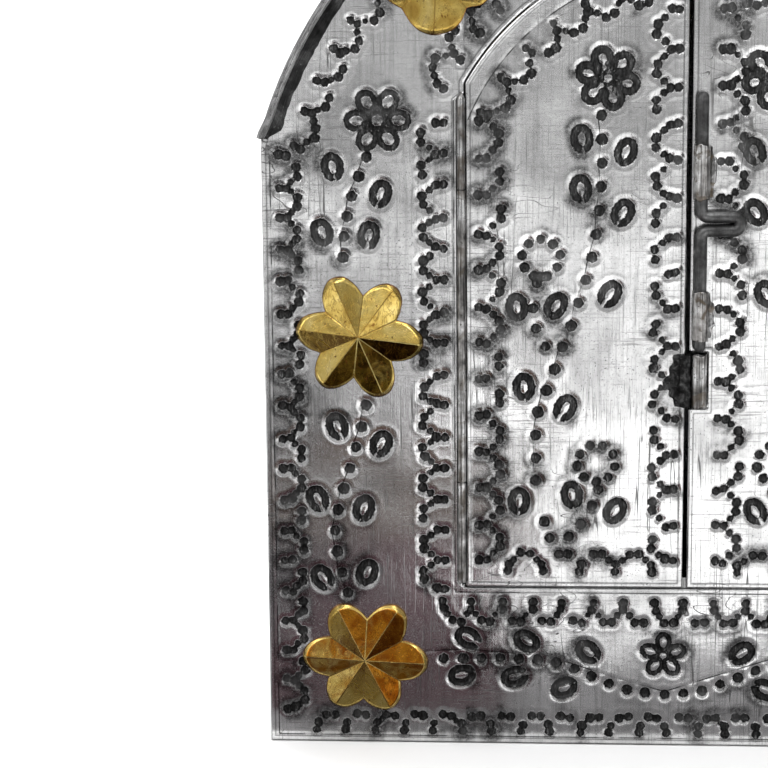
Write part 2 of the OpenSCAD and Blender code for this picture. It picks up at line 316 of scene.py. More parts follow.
def stem(relief, points, count, scribed=True):
    """A row of dots along a smooth stem, with the fine line that it was laid out on."""
    places = curve_points(points, count)
    for x, z in places:
        relief.dot(x, z, STEM_DOT_R)
    if scribed:
        shifted = [(x - 0.9 + 0.5 * (i % 2), z) for i, (x, z) in enumerate(places)]
        relief.scratch_line(shifted)


def festoon(relief, at, length, period, depth, stepped=0.75):
    """A border of scallops made with a round punch.

    at(s, d) gives the place at distance s along the border and d from its inner line. Each scallop is
    two dots along the inner line, often a step on each side, and two fused dots that point outwards.
    """
    r = BORDER_DOT_R
    scallops = max(1, round(length / period))
    step = length / scallops
    rng = relief.rng
    for i in range(scallops + 1):
        s = i * step + rng.uniform(-0.35, 0.35)
        lean = rng.uniform(-0.5, 0.5)
        relief.dot(*at(s, depth), r * rng.uniform(0.95, 1.12))
        relief.dot(*at(s + lean, depth - 1.9), r * rng.uniform(0.95, 1.15))
        if i == scallops:
            break
        mid = (i + 0.5) * step + rng.uniform(-0.3, 0.3)
        relief.dot(*at(mid - 1.15, rng.uniform(-0.3, 0.3)), r * 1.08)
        relief.dot(*at(mid + 1.15, rng.uniform(-0.3, 0.3)), r * 1.08)
        for way in (-1, 1):
            if rng.random() < stepped:
                relief.dot(*at(mid + way * 0.32 * step, 0.34 * depth), r * rng.uniform(0.7, 0.9))


def straight(x0, z0, x1, z1, nx, nz):
    """Placing function of a border along a straight line, (nx, nz) pointing outwards, and its length."""
    length = math.hypot(x1 - x0, z1 - z0)
    ux, uz = (x1 - x0) / length, (z1 - z0) / length
    return (lambda s, d: (x0 + ux * s + nx * d, z0 + uz * s + nz * d)), length


def along_arc(cz, r, from_deg, to_deg, outwards):
    """Placing function of a border along an arc about (0, cz); outwards is 1 away from the centre or -1."""
    start = math.radians(from_deg)
    sweep = math.radians(to_deg - from_deg)
    length = r * abs(sweep)

    def at(s, d):
        a = start + sweep * s / length
        return (r + outwards * d) * math.cos(a), cz + (r + outwards * d) * math.sin(a)

    return at, length


# Distances to the sheets' outlines in millimetres, negative inside
def box_distance(gx, gz, x0, x1, z0, z1):
    return np.maximum(np.maximum(x0 - gx, gx - x1), np.maximum(z0 - gz, gz - z1))


def arched_distance(gx, gz, half_w, r, centre_z, base_z):
    """Distance to a round-headed outline about x = 0."""
    sides = np.maximum(np.abs(gx) - half_w, base_z - gz)
    head = np.where(gz > centre_z, np.hypot(gx, gz - centre_z) - r, -1e3)
    return np.maximum(sides, head)


def case_distance(gx, gz):
    return arched_distance(gx, gz, HALF_W / MM, SHEET_ROOF_R / MM, ROOF_Z / MM, 0.0)


def panel_distance(gx, gz):
    """The opening is as wide as the hinges along them, and only clears the doors past their ends."""
    past_hinge = np.maximum(gz - HINGE_TOP_Z / MM, HINGE_LOW_Z / MM - gz)
    closed_in = np.clip(past_hinge * 1.5, 0, (OPENING_HALF_W - DOOR_EDGE_X - OPENING_GAP) / MM)
    opening = arched_distance(gx, gz, OPENING_HALF_W / MM - closed_in, (DOOR_ARCH_R + OPENING_GAP) / MM,
                              DOOR_ARCH_Z / MM, (DOOR_BASE_Z - OPENING_GAP) / MM)
    return np.maximum(case_distance(gx, gz), -opening)


def plain_door_distance(gx, gz):
    """The right door's outline without its notch."""
    pair = arched_distance(gx, gz, DOOR_EDGE_X / MM, DOOR_ARCH_R / MM, DOOR_ARCH_Z / MM, DOOR_BASE_Z / MM)
    return np.maximum(pair, DOOR_GAP_X / MM - gx)


def left_door_distance(gx, gz):
    return plain_door_distance(-gx, gz)


def right_door_distance(gx, gz):
    notch = box_distance(gx, gz, 0.0, (KEEPER[1][0] + NOTCH_CLEAR) / MM,
                         (KEEPER[0][2] - NOTCH_CLEAR) / MM, (KEEPER[1][2] + NOTCH_CLEAR) / MM)
    return np.maximum(plain_door_distance(gx, gz), -notch)


# Depths and widths of the relief, in millimetres
MARK_DEPTH = 0.42
MARK_SLOPE = 0.75
DISH_DEPTH = 0.12
DISH_REACH = 1.1
HALO_RISE = 0.035
HALO_AT = -1.0
HALO_W = 0.6
SCRIBE_DEPTH = 0.07
SCRIBE_W = 0.3
HEM_W = 1.15
HEM_RISE = 0.10
WAVE_RISE = 0.16
WAVE_CALM = 6.0
PUSH_SOFT = 0.44


def relief_heights(relief, edge, hem, seed):
    """How far the sheet is pushed back at each grid point, in millimetres."""
    m = relief.mark
    pressed = MARK_DEPTH * smoothstep(m / MARK_SLOPE + 0.15)
    dish = DISH_DEPTH * smoothstep(1 + m / DISH_REACH)
    halo = HALO_RISE * np.exp(-((m - HALO_AT) / HALO_W) ** 2)
    line = SCRIBE_DEPTH * np.exp(-(relief.scribe / SCRIBE_W) ** 2)
    gx, gz = relief.grid()
    points = np.stack([gx.ravel(), np.zeros(gx.size), gz.ravel()], axis=1)
    wave = value_noise(points, 23.0, seed) + 0.5 * value_noise(points, 9.0, seed + 1)
    wave = WAVE_RISE * wave.reshape(gx.shape) * smoothstep(-edge / WAVE_CALM)
    folded = HEM_RISE * smoothstep((HEM_W + edge) / 0.3) if hem else 0.0
    push = pressed + dish + line - halo + wave - folded
    return np.where(push > PUSH_SOFT, PUSH_SOFT + (push - PUSH_SOFT) * 0.25, push)


def relief_sheet(name, relief, distance, face_y=FRONT_Y, inwards=1, hem=False, seed=3):
    """A closed sheet with its relief on the face and the same bumps behind."""
    gx, gz = relief.grid()
    edge = distance(gx, gz)
    cell = CELL / MM
    inside = edge < 0.35 * cell
    keep = inside[:-1, :-1] & inside[1:, :-1] & inside[:-1, 1:] & inside[1:, 1:]
    uses = np.zeros(gx.shape, dtype=int)
    for dk in (0, 1):
        for di in (0, 1):
            uses[dk:dk + keep.shape[0], di:di + keep.shape[1]] += keep
    step = 0.05
    slope_x = (distance(gx + step, gz) - distance(gx - step, gz)) / (2 * step)
    slope_z = (distance(gx, gz + step) - distance(gx, gz - step)) / (2 * step)
    on_rim = (uses > 0) & (uses < 4) & (np.abs(edge) < 1.4 * cell)
    move = np.where(on_rim, edge, 0.0)
    push = relief_heights(relief, edge, hem, seed)
    used = uses > 0
    count = int(used.sum())
    index = np.full(gx.shape, -1)
    index[used] = np.arange(count)
    face = np.stack([(gx - move * slope_x)[used] * MM, face_y + inwards * push[used] * MM,
                     (gz - move * slope_z)[used] * MM], axis=1)
    behind = face + np.array([0, inwards * SHEET_T * BEHIND, 0])
    corners = [index[:-1, :-1], index[:-1, 1:], index[1:, 1:], index[1:, :-1]]
    if inwards < 0:
        corners.reverse()
    q = np.stack([c[keep] for c in corners], axis=1)
    pad = np.pad(keep, 1)
    walls = []
    for a, (dk, di) in enumerate(((-inwards, 0), (0, 1), (inwards, 0), (0, -1))):
        lone = ~pad[1 + dk:1 + dk + keep.shape[0], 1 + di:1 + di + keep.shape[1]][keep]
        b = (a + 1) % 4
        walls.append(np.stack([q[lone, b], q[lone, a], q[lone, a] + count, q[lone, b] + count], axis=1))
    mesh = mesh_from_arrays(name, np.concatenate([face, behind]),
                            np.concatenate([q, q[:, ::-1] + count] + walls))
    away = np.full(count, -MARK_REACH)
    add_float(mesh, "mark", np.concatenate([relief.mark[used], away]))
    add_float(mesh, "scribe", np.concatenate([relief.scribe[used], np.full(count, SCRIBE_REACH)]))
    add_float(mesh, "edge", np.concatenate([-edge[used], np.full(count, PLAIN_EDGE)]))
    return new_object(name, mesh)


# ---------------------------------------------------------------- the punched patterns
def mirror_helpers(side):
    """Functions that mirror a place and a direction given for the left side, where side is -1."""
    return (lambda x: -side * x), (lambda angle: angle if side < 0 else 180 - angle)


def field_marks(relief, side):
    """Rosette, stems and leaves of one side field."""
    m, d = mirror_helpers(side)
    relief.rosette(m(-76.2), 158.2, 6, 5.2, 6.3, 5.5, 1.5, d(0))
    stem(relief, [(m(-79), 149.2), (m(-82.6), 140.4), (m(-84.6), 131), (m(-85), 124.6)], 6)
    stem(relief, [(m(-79.6), 87.4), (m(-83.6), 72), (m(-87.8), 57), (m(-86.6), 46), (m(-84.8), 39)], 10)
    for x, z, turn in ((-87.4, 146.9, 105), (-75.6, 140.2, 75), (-90.2, 130.8, 110), (-78.6, 130, 80),
                       (-87, 82, 108), (-76, 77.6, 65), (-92.2, 63.4, 110), (-80.5, 61, 70),
                       (-91.2, 43, 118), (-79.8, 44.4, 70)):
        relief.leaf(m(x), z, d(turn))


def sill_marks(relief):
    """The spray along the foot of the panel, symmetrical about its rosette."""
    mid = -4.6
    half = [(-60.4, 22), (-48, 22.3), (-34, 21.7), (-24.5, 18.3), (-14, 14.3), (mid, 13.2)]
    relief.rosette(mid - 0.4, 23.4, 5, 3.5, 5.3, 4.3, 1.3, 90, eye=1.6)
    for x, z in curve_points(half, 13):
        relief.dot(x, z, 1.35)
        if x < mid - 1:
            relief.dot(2 * mid - x, z, 1.35)
    relief.scratch_line([(-72, 23.5), (-55, 24.6), (-34, 23), (-18, 17.8), (mid, 14)])
    relief.scratch_line([(mid, 14), (9, 18.5), (26, 24), (47, 25), (62, 24)])
    for x, z, turn in ((-54.3, 27.5, 150), (-55.9, 17.7, 195), (-39.4, 26.8, 146), (-23.9, 24.1, 140),
                       (-42.4, 17.4, 200), (-29.9, 14.6, 205)):
        relief.leaf(x, z, turn)
        relief.leaf(2 * mid - x, z, 180 - turn)


def crown_marks(relief):
    """The marks above the doors: a middle rosette with a spray, a dot ring and leaves on each side."""
    relief.rosette(0, 216.6, 6, 4.8, 6.4, 5.8, 2.1, 90)
    for side in (-1, 1):
        m, d = mirror_helpers(side)
        relief.dot_ring(m(-31), 216.5, 4.6, 9, 1.2, 20)
        stem(relief, [(m(-48), 207.5), (m(-42), 210.6), (m(-37.6), 213)], 3, scribed=False)
        stem(relief, [(m(-25), 218.3), (m(-18), 215), (m(-11), 216)], 4, scribed=False)
        for x, z, turn in ((-42.6, 205, 250), (-22.5, 210.5, 290), (-16.8, 222, 60)):
            relief.leaf(m(x), z, d(turn))


def panel_relief():
    relief = Relief(-HALF_W / MM, HALF_W / MM, 0.0, PANEL[1][2] / MM, SEED)
    crown_marks(relief)
    sill_marks(relief)
    for side in (-1, 1):
        field_marks(relief, side)
        festoon(relief, *straight(side * 96.2, 8, side * 96.2, 150, side, 0), 8.1, 4.5)
        festoon(relief, *straight(side * 65.3, 40, side * 65.3, 158, -side, 0), 8.1, 5.2)
    festoon(relief, *straight(-93, 7, 93, 7, 0, -1), 7.45, 4.1, stepped=0.1)
    festoon(relief, *straight(-61, 32, 61, 32, 0, 1), 7.5, 5.0)
    festoon(relief, *along_arc(ROOF_Z / MM, 96.3, 164, 16, 1), 8.0, 4.4)
    festoon(relief, *along_arc(DOOR_ARCH_Z / MM, 72.2, 153, 27, -1), 8.2, 5.0)
    gx, gz = relief.grid()
    sill_z = DOOR_BASE_Z / MM - 1.5
    beside = np.abs(gx) - (OPENING_HALF_W / MM + 0.75)
    relief.guide(beside, (gz > sill_z) & (gz < 163) & (np.abs(beside) < SCRIBE_REACH))
    relief.guide(gz - sill_z, (beside < 0) & (np.abs(gz - sill_z) < SCRIBE_REACH))
    fold = np.abs(gx) - 102.9
    relief.guide(fold, (gz > 1.6) & (gz < 150) & (np.abs(fold) < SCRIBE_REACH))
    relief.guide(gz - 1.6, (fold < 0) & (np.abs(gz - 1.6) < SCRIBE_REACH))
    return relief


def door_relief(side):
    """The marks of one door; the doors mirror each other but for the column beside the latch."""
    m, d = mirror_helpers(side)
    x_from, x_to = sorted((m(-DOOR_EDGE_X / MM), m(-DOOR_GAP_X / MM)))
    relief = Relief(x_from, x_to, DOOR_BASE_Z / MM, DOOR_TOP_Z / MM, SEED + 5 + side)
    relief.rosette(m(-20), 168, 6, 4.9, 6.5, 5.9, 2.0, d(45), eye=2.0)
    stem(relief, [(m(-21.5), 159.1), (m(-21.2), 147), (m(-22.6), 129.5), (m(-27), 112.6), (m(-33), 95.6),
                  (m(-36.8), 85), (m(-37.3), 68.3)], 17)
    for x, z, turn in ((-26.2, 153.4, 97), (-15.5, 150.2, 68), (-26.4, 141.2, 100), (-16.1, 135.3, 60),
                       (-19.1, 115.3, 60), (-32.4, 112.4, 65), (-42, 112.1, 92), (-40.2, 92.1, 92),
                       (-30, 86.8, 60), (-41.4, 63.1, 92), (-28.2, 64.7, 98), (-17.4, 60.7, 60)):
        relief.leaf(m(x), z, d(turn))
    relief.dot_ring(m(-36.1), 124.2, 4.7, 9, 1.25, 10)
    for x, z in ((-37.2, 118), (-36, 119.6), (-38, 111.9), (-37.3, 106.7), (-35, 102.2)):
        relief.dot(m(x), z, 1.35)
    relief.dot_ring(m(-22.2), 72.8, 4.7, 9, 1.25, 30)
    for x, z in ((-21.7, 66), (-23.2, 61.9), (-25.9, 57.3), (-28.9, 53.9), (-33.8, 53.6), (-34.9, 57.8)):
        relief.dot(m(x), z, 1.4)
    latch_line = -8.1 if side < 0 else -12.9
    festoon(relief, *straight(m(-46.2), 48, m(-46.2), 158, side, 0), 9.2, 5.2)
    festoon(relief, *straight(m(latch_line), 48, m(latch_line), 184, -side, 0), 8.9, 5.2)
    festoon(relief, *straight(m(-44), 49.6, m(latch_line), 49.6, 0, -1), 9.3, 4.6)
    arc_from, arc_to = (154, 98) if side < 0 else (26, 79)
    festoon(relief, *along_arc(DOOR_ARCH_Z / MM, 51.5, arc_from, arc_to, 1), 8.8, 5.0)
    gx, gz = relief.grid()
    arc = np.hypot(gx, gz - DOOR_ARCH_Z / MM) - 58.6
    relief.guide(arc, (gz > 158) & (np.abs(arc) < SCRIBE_REACH))
    return relief


# ---------------------------------------------------------------- plain sheets
def plain_sheet_relief():
    """An unpunched sheet of the case's outline."""
    return Relief(-HALF_W / MM, HALF_W / MM, 0.0, PANEL[1][2] / MM, SEED)


def grid_shell(name, outer, inner, closed=False):
    """A closed shell between two (m, n, 3) grids of points; closed joins the last column to the first."""
    m, n = outer.shape[:2]
    count = m * n
    index = np.arange(count).reshape(m, n)
    if closed:
        index = around(index)
    q = cell_quads(index)
    edges = [(index[0, 1:], index[0, :-1]), (index[-1, :-1], index[-1, 1:])]
    if not closed:
        edges += [(index[:-1, 0], index[1:, 0]), (index[1:, -1], index[:-1, -1])]
    walls = [np.stack([a, b, b + count, a + count], axis=1) for a, b in edges]
    points = np.concatenate([outer.reshape(-1, 3), inner.reshape(-1, 3)])
    return new_object(name, mesh_from_arrays(name, points, np.concatenate([q, q[:, ::-1] + count] + walls)))


WALL_GRID = (60, 110)
ROOF_GRID = (280, 60)
WALL_CALM = 0.010
WALL_DENT = 0.0005


def wavy(points, rise, size, seed):
    """Noise for each of a grid of points, as a distance in metres."""
    flat = points.reshape(-1, 3)
    return (rise * value_noise(flat, size, seed)).reshape(points.shape[:-1])


def side_wall(side):
    """A flat side wall with the slight dents of hand-cut sheet."""
    lo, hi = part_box("left_side_wall" if side < 0 else "right_side_wall")
    y, z = np.meshgrid(np.linspace(lo[1], hi[1], WALL_GRID[0]),
                       np.linspace(lo[2], hi[2] + FLARE_RISE, WALL_GRID[1]))
    face_x = lo[0] if side < 0 else hi[0]
    flat = np.stack([np.full(y.shape, face_x), y, z], axis=-1)
    calm = (smoothstep(np.minimum(y - lo[1], hi[1] - y) / WALL_CALM)
            * smoothstep(np.minimum(z - lo[2], hi[2] - z) / WALL_CALM))
    dent = (WALL_DENT + wavy(flat, WALL_DENT, 0.030, SEED + 21)) * calm
    outer = flat - np.array([side, 0, 0]) * dent[..., None]
    inner = outer - np.array([side * SHEET_T, 0, 0])
    if side < 0:
        outer, inner = outer[:, ::-1], inner[:, ::-1]
    name = "left_wall_sheet" if side < 0 else "right_wall_sheet"
    return grid_shell(name, outer, inner)


def arc_points(angles, radii, ys):
    """Points at the given angles and radii about the roof's axis, all arrays of one shape."""
    return np.stack([radii * np.cos(angles), ys, ROOF_Z + radii * np.sin(angles)], axis=-1)


def past_end(angles):
    """How far along the arc a place is from the nearer end of the roof, as an angle."""
    return np.minimum(angles, math.pi - angles) - EAVE - RIM_END


def flare(angles):
    """How far the roof's edge is bent outwards at its two lower ends, to meet the walls."""
    return FLARE * (1 - smoothstep(past_end(angles) / FLARE_TO))


def roof_sheet():
    """The bent roof, slightly uneven, running forward into the bead."""
    start = EAVE + RIM_END
    a, y = np.meshgrid(np.linspace(start, math.pi - start, ROOF_GRID[0]),
                       np.linspace(ROOF[1][1], BEAD_Y, ROOF_GRID[1]), indexing="ij")
    base = arc_points(a, np.full(a.shape, ROOF_R), y)
    calm = smoothstep((a - EAVE) / 0.12) * smoothstep((math.pi - EAVE - a) / 0.12)
    dent = (0.00025 + wavy(base, 0.00022, 0.026, SEED + 31) + wavy(base, 0.00008, 0.009, SEED + 32)) * calm
    outer = arc_points(a, ROOF_R + flare(a) - dent, y)
    inner = arc_points(a, ROOF_R + flare(a) - dent - SHEET_T, y)
    return grid_shell("roof_sheet", outer[:, ::-1], inner[:, ::-1])


def swept_arch(name, profile, count, inset=0.0):
    """Sweeps a closed profile along the roof's arc.

    profile(a, t) gives the radius and the y of ring parameter t (0 to 1) at angle a, as arrays.
    """
    start = EAVE + RIM_END + inset
    a, t = np.meshgrid(np.linspace(start, math.pi - start, count),
                       np.linspace(0, 1, SWEEP_RING, endpoint=False), indexing="ij")
    radii, ys = profile(a, t)
    points = arc_points(a, radii, ys).reshape(-1, 3)
    wrapped = around(np.arange(count * SWEEP_RING).reshape(count, SWEEP_RING))
    q = cell_quads(wrapped)[:, QUAD_TURNED]
    middle = points.reshape(count, SWEEP_RING, 3).mean(axis=1)
    ends = np.array([middle[END_HOLLOW], middle[-1 - END_HOLLOW]])
    first, last = len(points), len(points) + 1
    tris = [(first, wrapped[0, i], wrapped[0, i + 1]) for i in range(SWEEP_RING)]
    tris += [(last, wrapped[-1, i + 1], wrapped[-1, i]) for i in range(SWEEP_RING)]
    mesh = mesh_from_arrays(name, np.concatenate([points, ends]), q, tris)
    add_float(mesh, "along", np.concatenate([a.ravel() * ROOF_R / MM, [0, 0]]))
    add_float(mesh, "across", np.concatenate([np.abs(2 * t.ravel() - 1), [0, 0]]))
    return new_object(name, mesh)


def bead_profile(a, t):
    """The rolled bead: a little uneven, and thinner at its two cut ends."""
    turn = 2 * math.pi * t
    noise = grid_noise(SEED + 41, a * 12)
    fine = grid_noise(SEED + 42, a * 55, np.sin(turn), np.cos(turn))
    r = BEAD_R * (0.96 + 0.04 * noise + 0.025 * fine)
    r = r * (1 - BEAD_END_THIN * np.exp(-(past_end(a) * ROOF_R / BEAD_END_W) ** 2))
    return BEAD_CENTRE_R + flare(a) + r * np.cos(turn), BEAD_Y + r * np.sin(turn)


def wire_profile(a, t):
    turn = 2 * math.pi * t
    return BEAD_CENTRE_R + flare(a) + WIRE_R * np.cos(turn), BEAD_Y + WIRE_R * np.sin(turn)


def rim_solder_profile(a, t):
    """Lumpy concave fillet between the panel's face and the roof's lip."""
    lump = grid_noise(SEED + 51, a * 22)
    grain = grid_noise(SEED + 52, a * 90, t * 14)
    closing = 0.45 + 0.55 * smoothstep(past_end(a) * ROOF_R / FILLET_TAPER)
    width = FILLET_W * (0.96 + 0.045 * lump) * closing
    height = FILLET_H * (0.95 + 0.05 * lump) * closing
    s = np.clip(t / FILLET_FACE, 0, 1)
    back = t > FILLET_FACE
    back_s = np.clip((t - FILLET_FACE) / (1 - FILLET_FACE), 0, 1)
    radius = np.where(back, SHEET_ROOF_R - width * back_s, SHEET_ROOF_R - width * (1 - s) ** 1.4)
    rise = np.where(back, height * (1 - smoothstep(back_s * 2.5)), height * s ** 1.5)
    rough = FILLET_ROUGH * grain * np.where(back, 0, np.sin(math.pi * s))
    return radius + flare(a), FRONT_Y + 0.0001 - rise - rough


# ---------------------------------------------------------------- rolled tubes, solder and flowers
TUBE_STEP = 0.055
TUBE_DENT = 0.00005
TUBE_LIP = 0.00008
TUBE_LIP_W = 0.05
LUMP_VOXEL = 0.00025
LUMP_MELT = 14


def rolled_tube(name, node, bore_r, seam_deg, seed):
    """A short tube rolled from sheet: uneven ends and a step where its edge laps over."""
    lo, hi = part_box(node)
    cx, cy = (lo[0] + hi[0]) / 2, (lo[1] + hi[1]) / 2
    outer_r = (hi[0] - lo[0]) / 2
    turn, along = np.meshgrid(np.linspace(0, 2 * math.pi, 72, endpoint=False), np.linspace(0, 1, 48))
    cut = grid_noise(seed, turn * 1.6) * 0.00035 + 0.0004
    z = lo[2] + cut + (hi[2] - lo[2] - 2 * cut) * along
    after = np.mod(turn - math.radians(seam_deg), 2 * math.pi) / (2 * math.pi)
    dents = grid_noise(seed + 1, turn * 1.4, along * 5)
    lip = np.exp(-((1 - np.abs(2 * along - 1)) / TUBE_LIP_W) ** 2)
    r = outer_r * (0.93 + TUBE_STEP * after) + TUBE_DENT * dents - TUBE_LIP * lip
    outer = np.stack([cx + r * np.cos(turn), cy + r * np.sin(turn), z], axis=-1)
    inner = np.stack([cx + bore_r * np.cos(turn), cy + bore_r * np.sin(turn), z], axis=-1)
    return grid_shell(name, outer, inner, closed=True)


def per_vertex(mesh, what):
    values = np.zeros(len(mesh.vertices) * 3)
    mesh.vertices.foreach_get(what, values)
    return values.reshape(-1, 3)


def solder_lump(name, boxes, seed, rise):
    """Solder run over its CAD boxes: rounded, voxelled together and lumpy."""
    bm = bmesh.new()
    for lo, hi in boxes:
        made = bmesh.ops.create_cube(bm, size=1.0)["verts"]
        bmesh.ops.scale(bm, vec=hi - lo, verts=made)
        bmesh.ops.translate(bm, vec=(lo + hi) / 2, verts=made)
    mesh = bpy.data.meshes.new(name)
    bm.to_mesh(mesh)
    bm.free()
    obj = new_object(name, mesh)
    remesh = obj.modifiers.new("voxels", "REMESH")
    remesh.mode = "VOXEL"
    remesh.voxel_size = LUMP_VOXEL
    remesh.use_smooth_shade = True
    smooth = obj.modifiers.new("melt", "SMOOTH")
    smooth.factor = 0.9
    smooth.iterations = LUMP_MELT
    graph = bpy.context.evaluated_depsgraph_get()
    melted = bpy.data.meshes.new_from_object(obj.evaluated_get(graph))
    obj.modifiers.clear()
    obj.data = melted
    melted.name = name
    co = per_vertex(melted, "co")
    normal = per_vertex(melted, "normal")
    lumps = value_noise(co, 0.0021, seed) + 0.5 * value_noise(co, 0.0008, seed + 1)
    co = co + normal * (rise * lumps)[:, None]
    co[:, 1] = np.minimum(co[:, 1], FRONT_Y - 0.00005)
    melted.vertices.foreach_set("co", co.ravel())
    melted.update()
    return obj


class Flower:
    """Sizes of an embossed brass flower: its petal tips and notches, in metres, how it is turned, and how much
    painted shade each facet gets.
    """

    def __init__(self, tips, shade, notch_r, turn_deg, widen=0.0, lean=0.0):
        self.tips = tips
        self.shade = shade
        self.notch_r = notch_r
        self.turn = math.radians(turn_deg)
        self.widen = widen
        self.lean = lean


def flower_mesh(flower, name, centre_x, centre_z, mirrored, seed):
    """An embossed sheet flower: flat facets from ridges at the petals' tips to valleys at the notches."""
    petals = len(flower.tips)
    a, s = np.meshgrid(np.linspace(0, 2 * math.pi, FLOWER_RAYS, endpoint=False),
                       np.linspace(0, 1, FLOWER_RINGS), indexing="ij")
    petal = a * petals / (2 * math.pi)
    number = np.floor(petal + 0.5).astype(int) % petals
    from_tip = (petal - np.round(petal)) * 2
    facet = (2 * number + (from_tip > 0)) % (2 * petals)
    nick = FLOWER_NICK * grid_noise(seed, np.cos(a) * 9, np.sin(a) * 9, np.full(a.shape, seed * 3.1))
    spin = a + flower.turn + flower.widen * np.sin(a)
    notch = flower.notch_r - flower.lean * np.cos(spin) * (2 * np.abs(from_tip) - 1)
    lobe = np.maximum(np.cos(from_tip * math.pi / 2), 0) ** FLOWER_LOBE
    reach = notch + (np.array(flower.tips)[number] - notch) * lobe - FLOWER_INSET + nick
    rho = reach * s
    along = rho * np.cos(from_tip * math.pi / petals)
    across = rho * np.abs(np.sin(from_tip * math.pi / petals))
    uneven = 1 + FLOWER_UNEVEN * np.random.default_rng(seed).uniform(-1, 1, 2 * petals)[facet]
    roll = smoothstep((s - FLOWER_ROLL_FROM) / (1 - FLOWER_ROLL_FROM))
    h = FLOWER_TOP - FLOWER_FALL * along - FLOWER_SLOPE * uneven * across
    places = np.stack([rho * np.cos(a), np.full(a.shape, seed * 0.01), rho * np.sin(a)], axis=-1)
    h = h + wavy(places, 0.00005, 0.0040, seed + 9) + wavy(places, 0.00002, 0.0013, seed + 10)
    h = np.clip(BRASS_T + (h - BRASS_T) * (1 - roll), BRASS_T, FLOWER_TOP)
    x = rho * np.cos(spin)
    if mirrored:
        x = -x
    z = rho * np.sin(spin)
    outer = np.stack([centre_x + x, FRONT_Y - h, centre_z + z], axis=-1)
    inner = outer + np.array([0, BRASS_BODY, 0])
    fold = np.minimum(across, rho * np.sin((1 - np.abs(from_tip)) * math.pi / petals)) / MM
    if mirrored:
        outer, inner, fold = outer[::-1], inner[::-1], fold[::-1]
    outer, inner, fold = outer.transpose(1, 0, 2)[1:], inner.transpose(1, 0, 2)[1:], fold.T[1:]
    outer, inner, fold = outer[:, ::-1], inner[:, ::-1], fold[:, ::-1]
    piece = flower_shell(name, outer, inner, centre_x, centre_z)
    add_float(piece.data, "fold", np.concatenate([fold.ravel(), fold.ravel(), [0, 0]]))
    # Painted shade: each facet's share of the shade colours, standing in for the darker reflections of those
    # facets
    shade = np.array(flower.shade)[facet]
    if mirrored:
        shade = shade[::-1]
    shade = shade.T[1:, ::-1].ravel()
    add_float(piece.data, "shade", np.concatenate([shade, shade, [0.5, 0.5]]))
    return piece


def flower_shell(name, outer, inner, centre_x, centre_z):
    """Closes a flower's two polar grids at the middle and round the rim."""
    m, n = outer.shape[:2]
    count = m * n
    index = around(np.arange(count).reshape(m, n))
    q = cell_quads(index)
    rim = np.stack([index[-1, :-1], index[-1, 1:], index[-1, 1:] + count, index[-1, :-1] + count], axis=1)
    peak_y = outer[0, :, 1].min() - 0.00003
    points = np.concatenate([outer.reshape(-1, 3), inner.reshape(-1, 3),
                             [[centre_x, peak_y, centre_z], [centre_x, peak_y + BRASS_BODY, centre_z]]])
    top, under = 2 * count, 2 * count + 1
    tris = [(top, index[0, i + 1], index[0, i]) for i in range(n)]
    tris += [(under, index[0, i] + count, index[0, i + 1] + count) for i in range(n)]
    mesh = mesh_from_arrays(name, points, np.concatenate([q, q[:, ::-1] + count, rim]), tris)
    share = np.repeat(np.linspace(1 / m, 1, m), n)
    add_float(mesh, "rim", np.concatenate([share, share, [0, 0]]))
    return new_object(name, mesh)


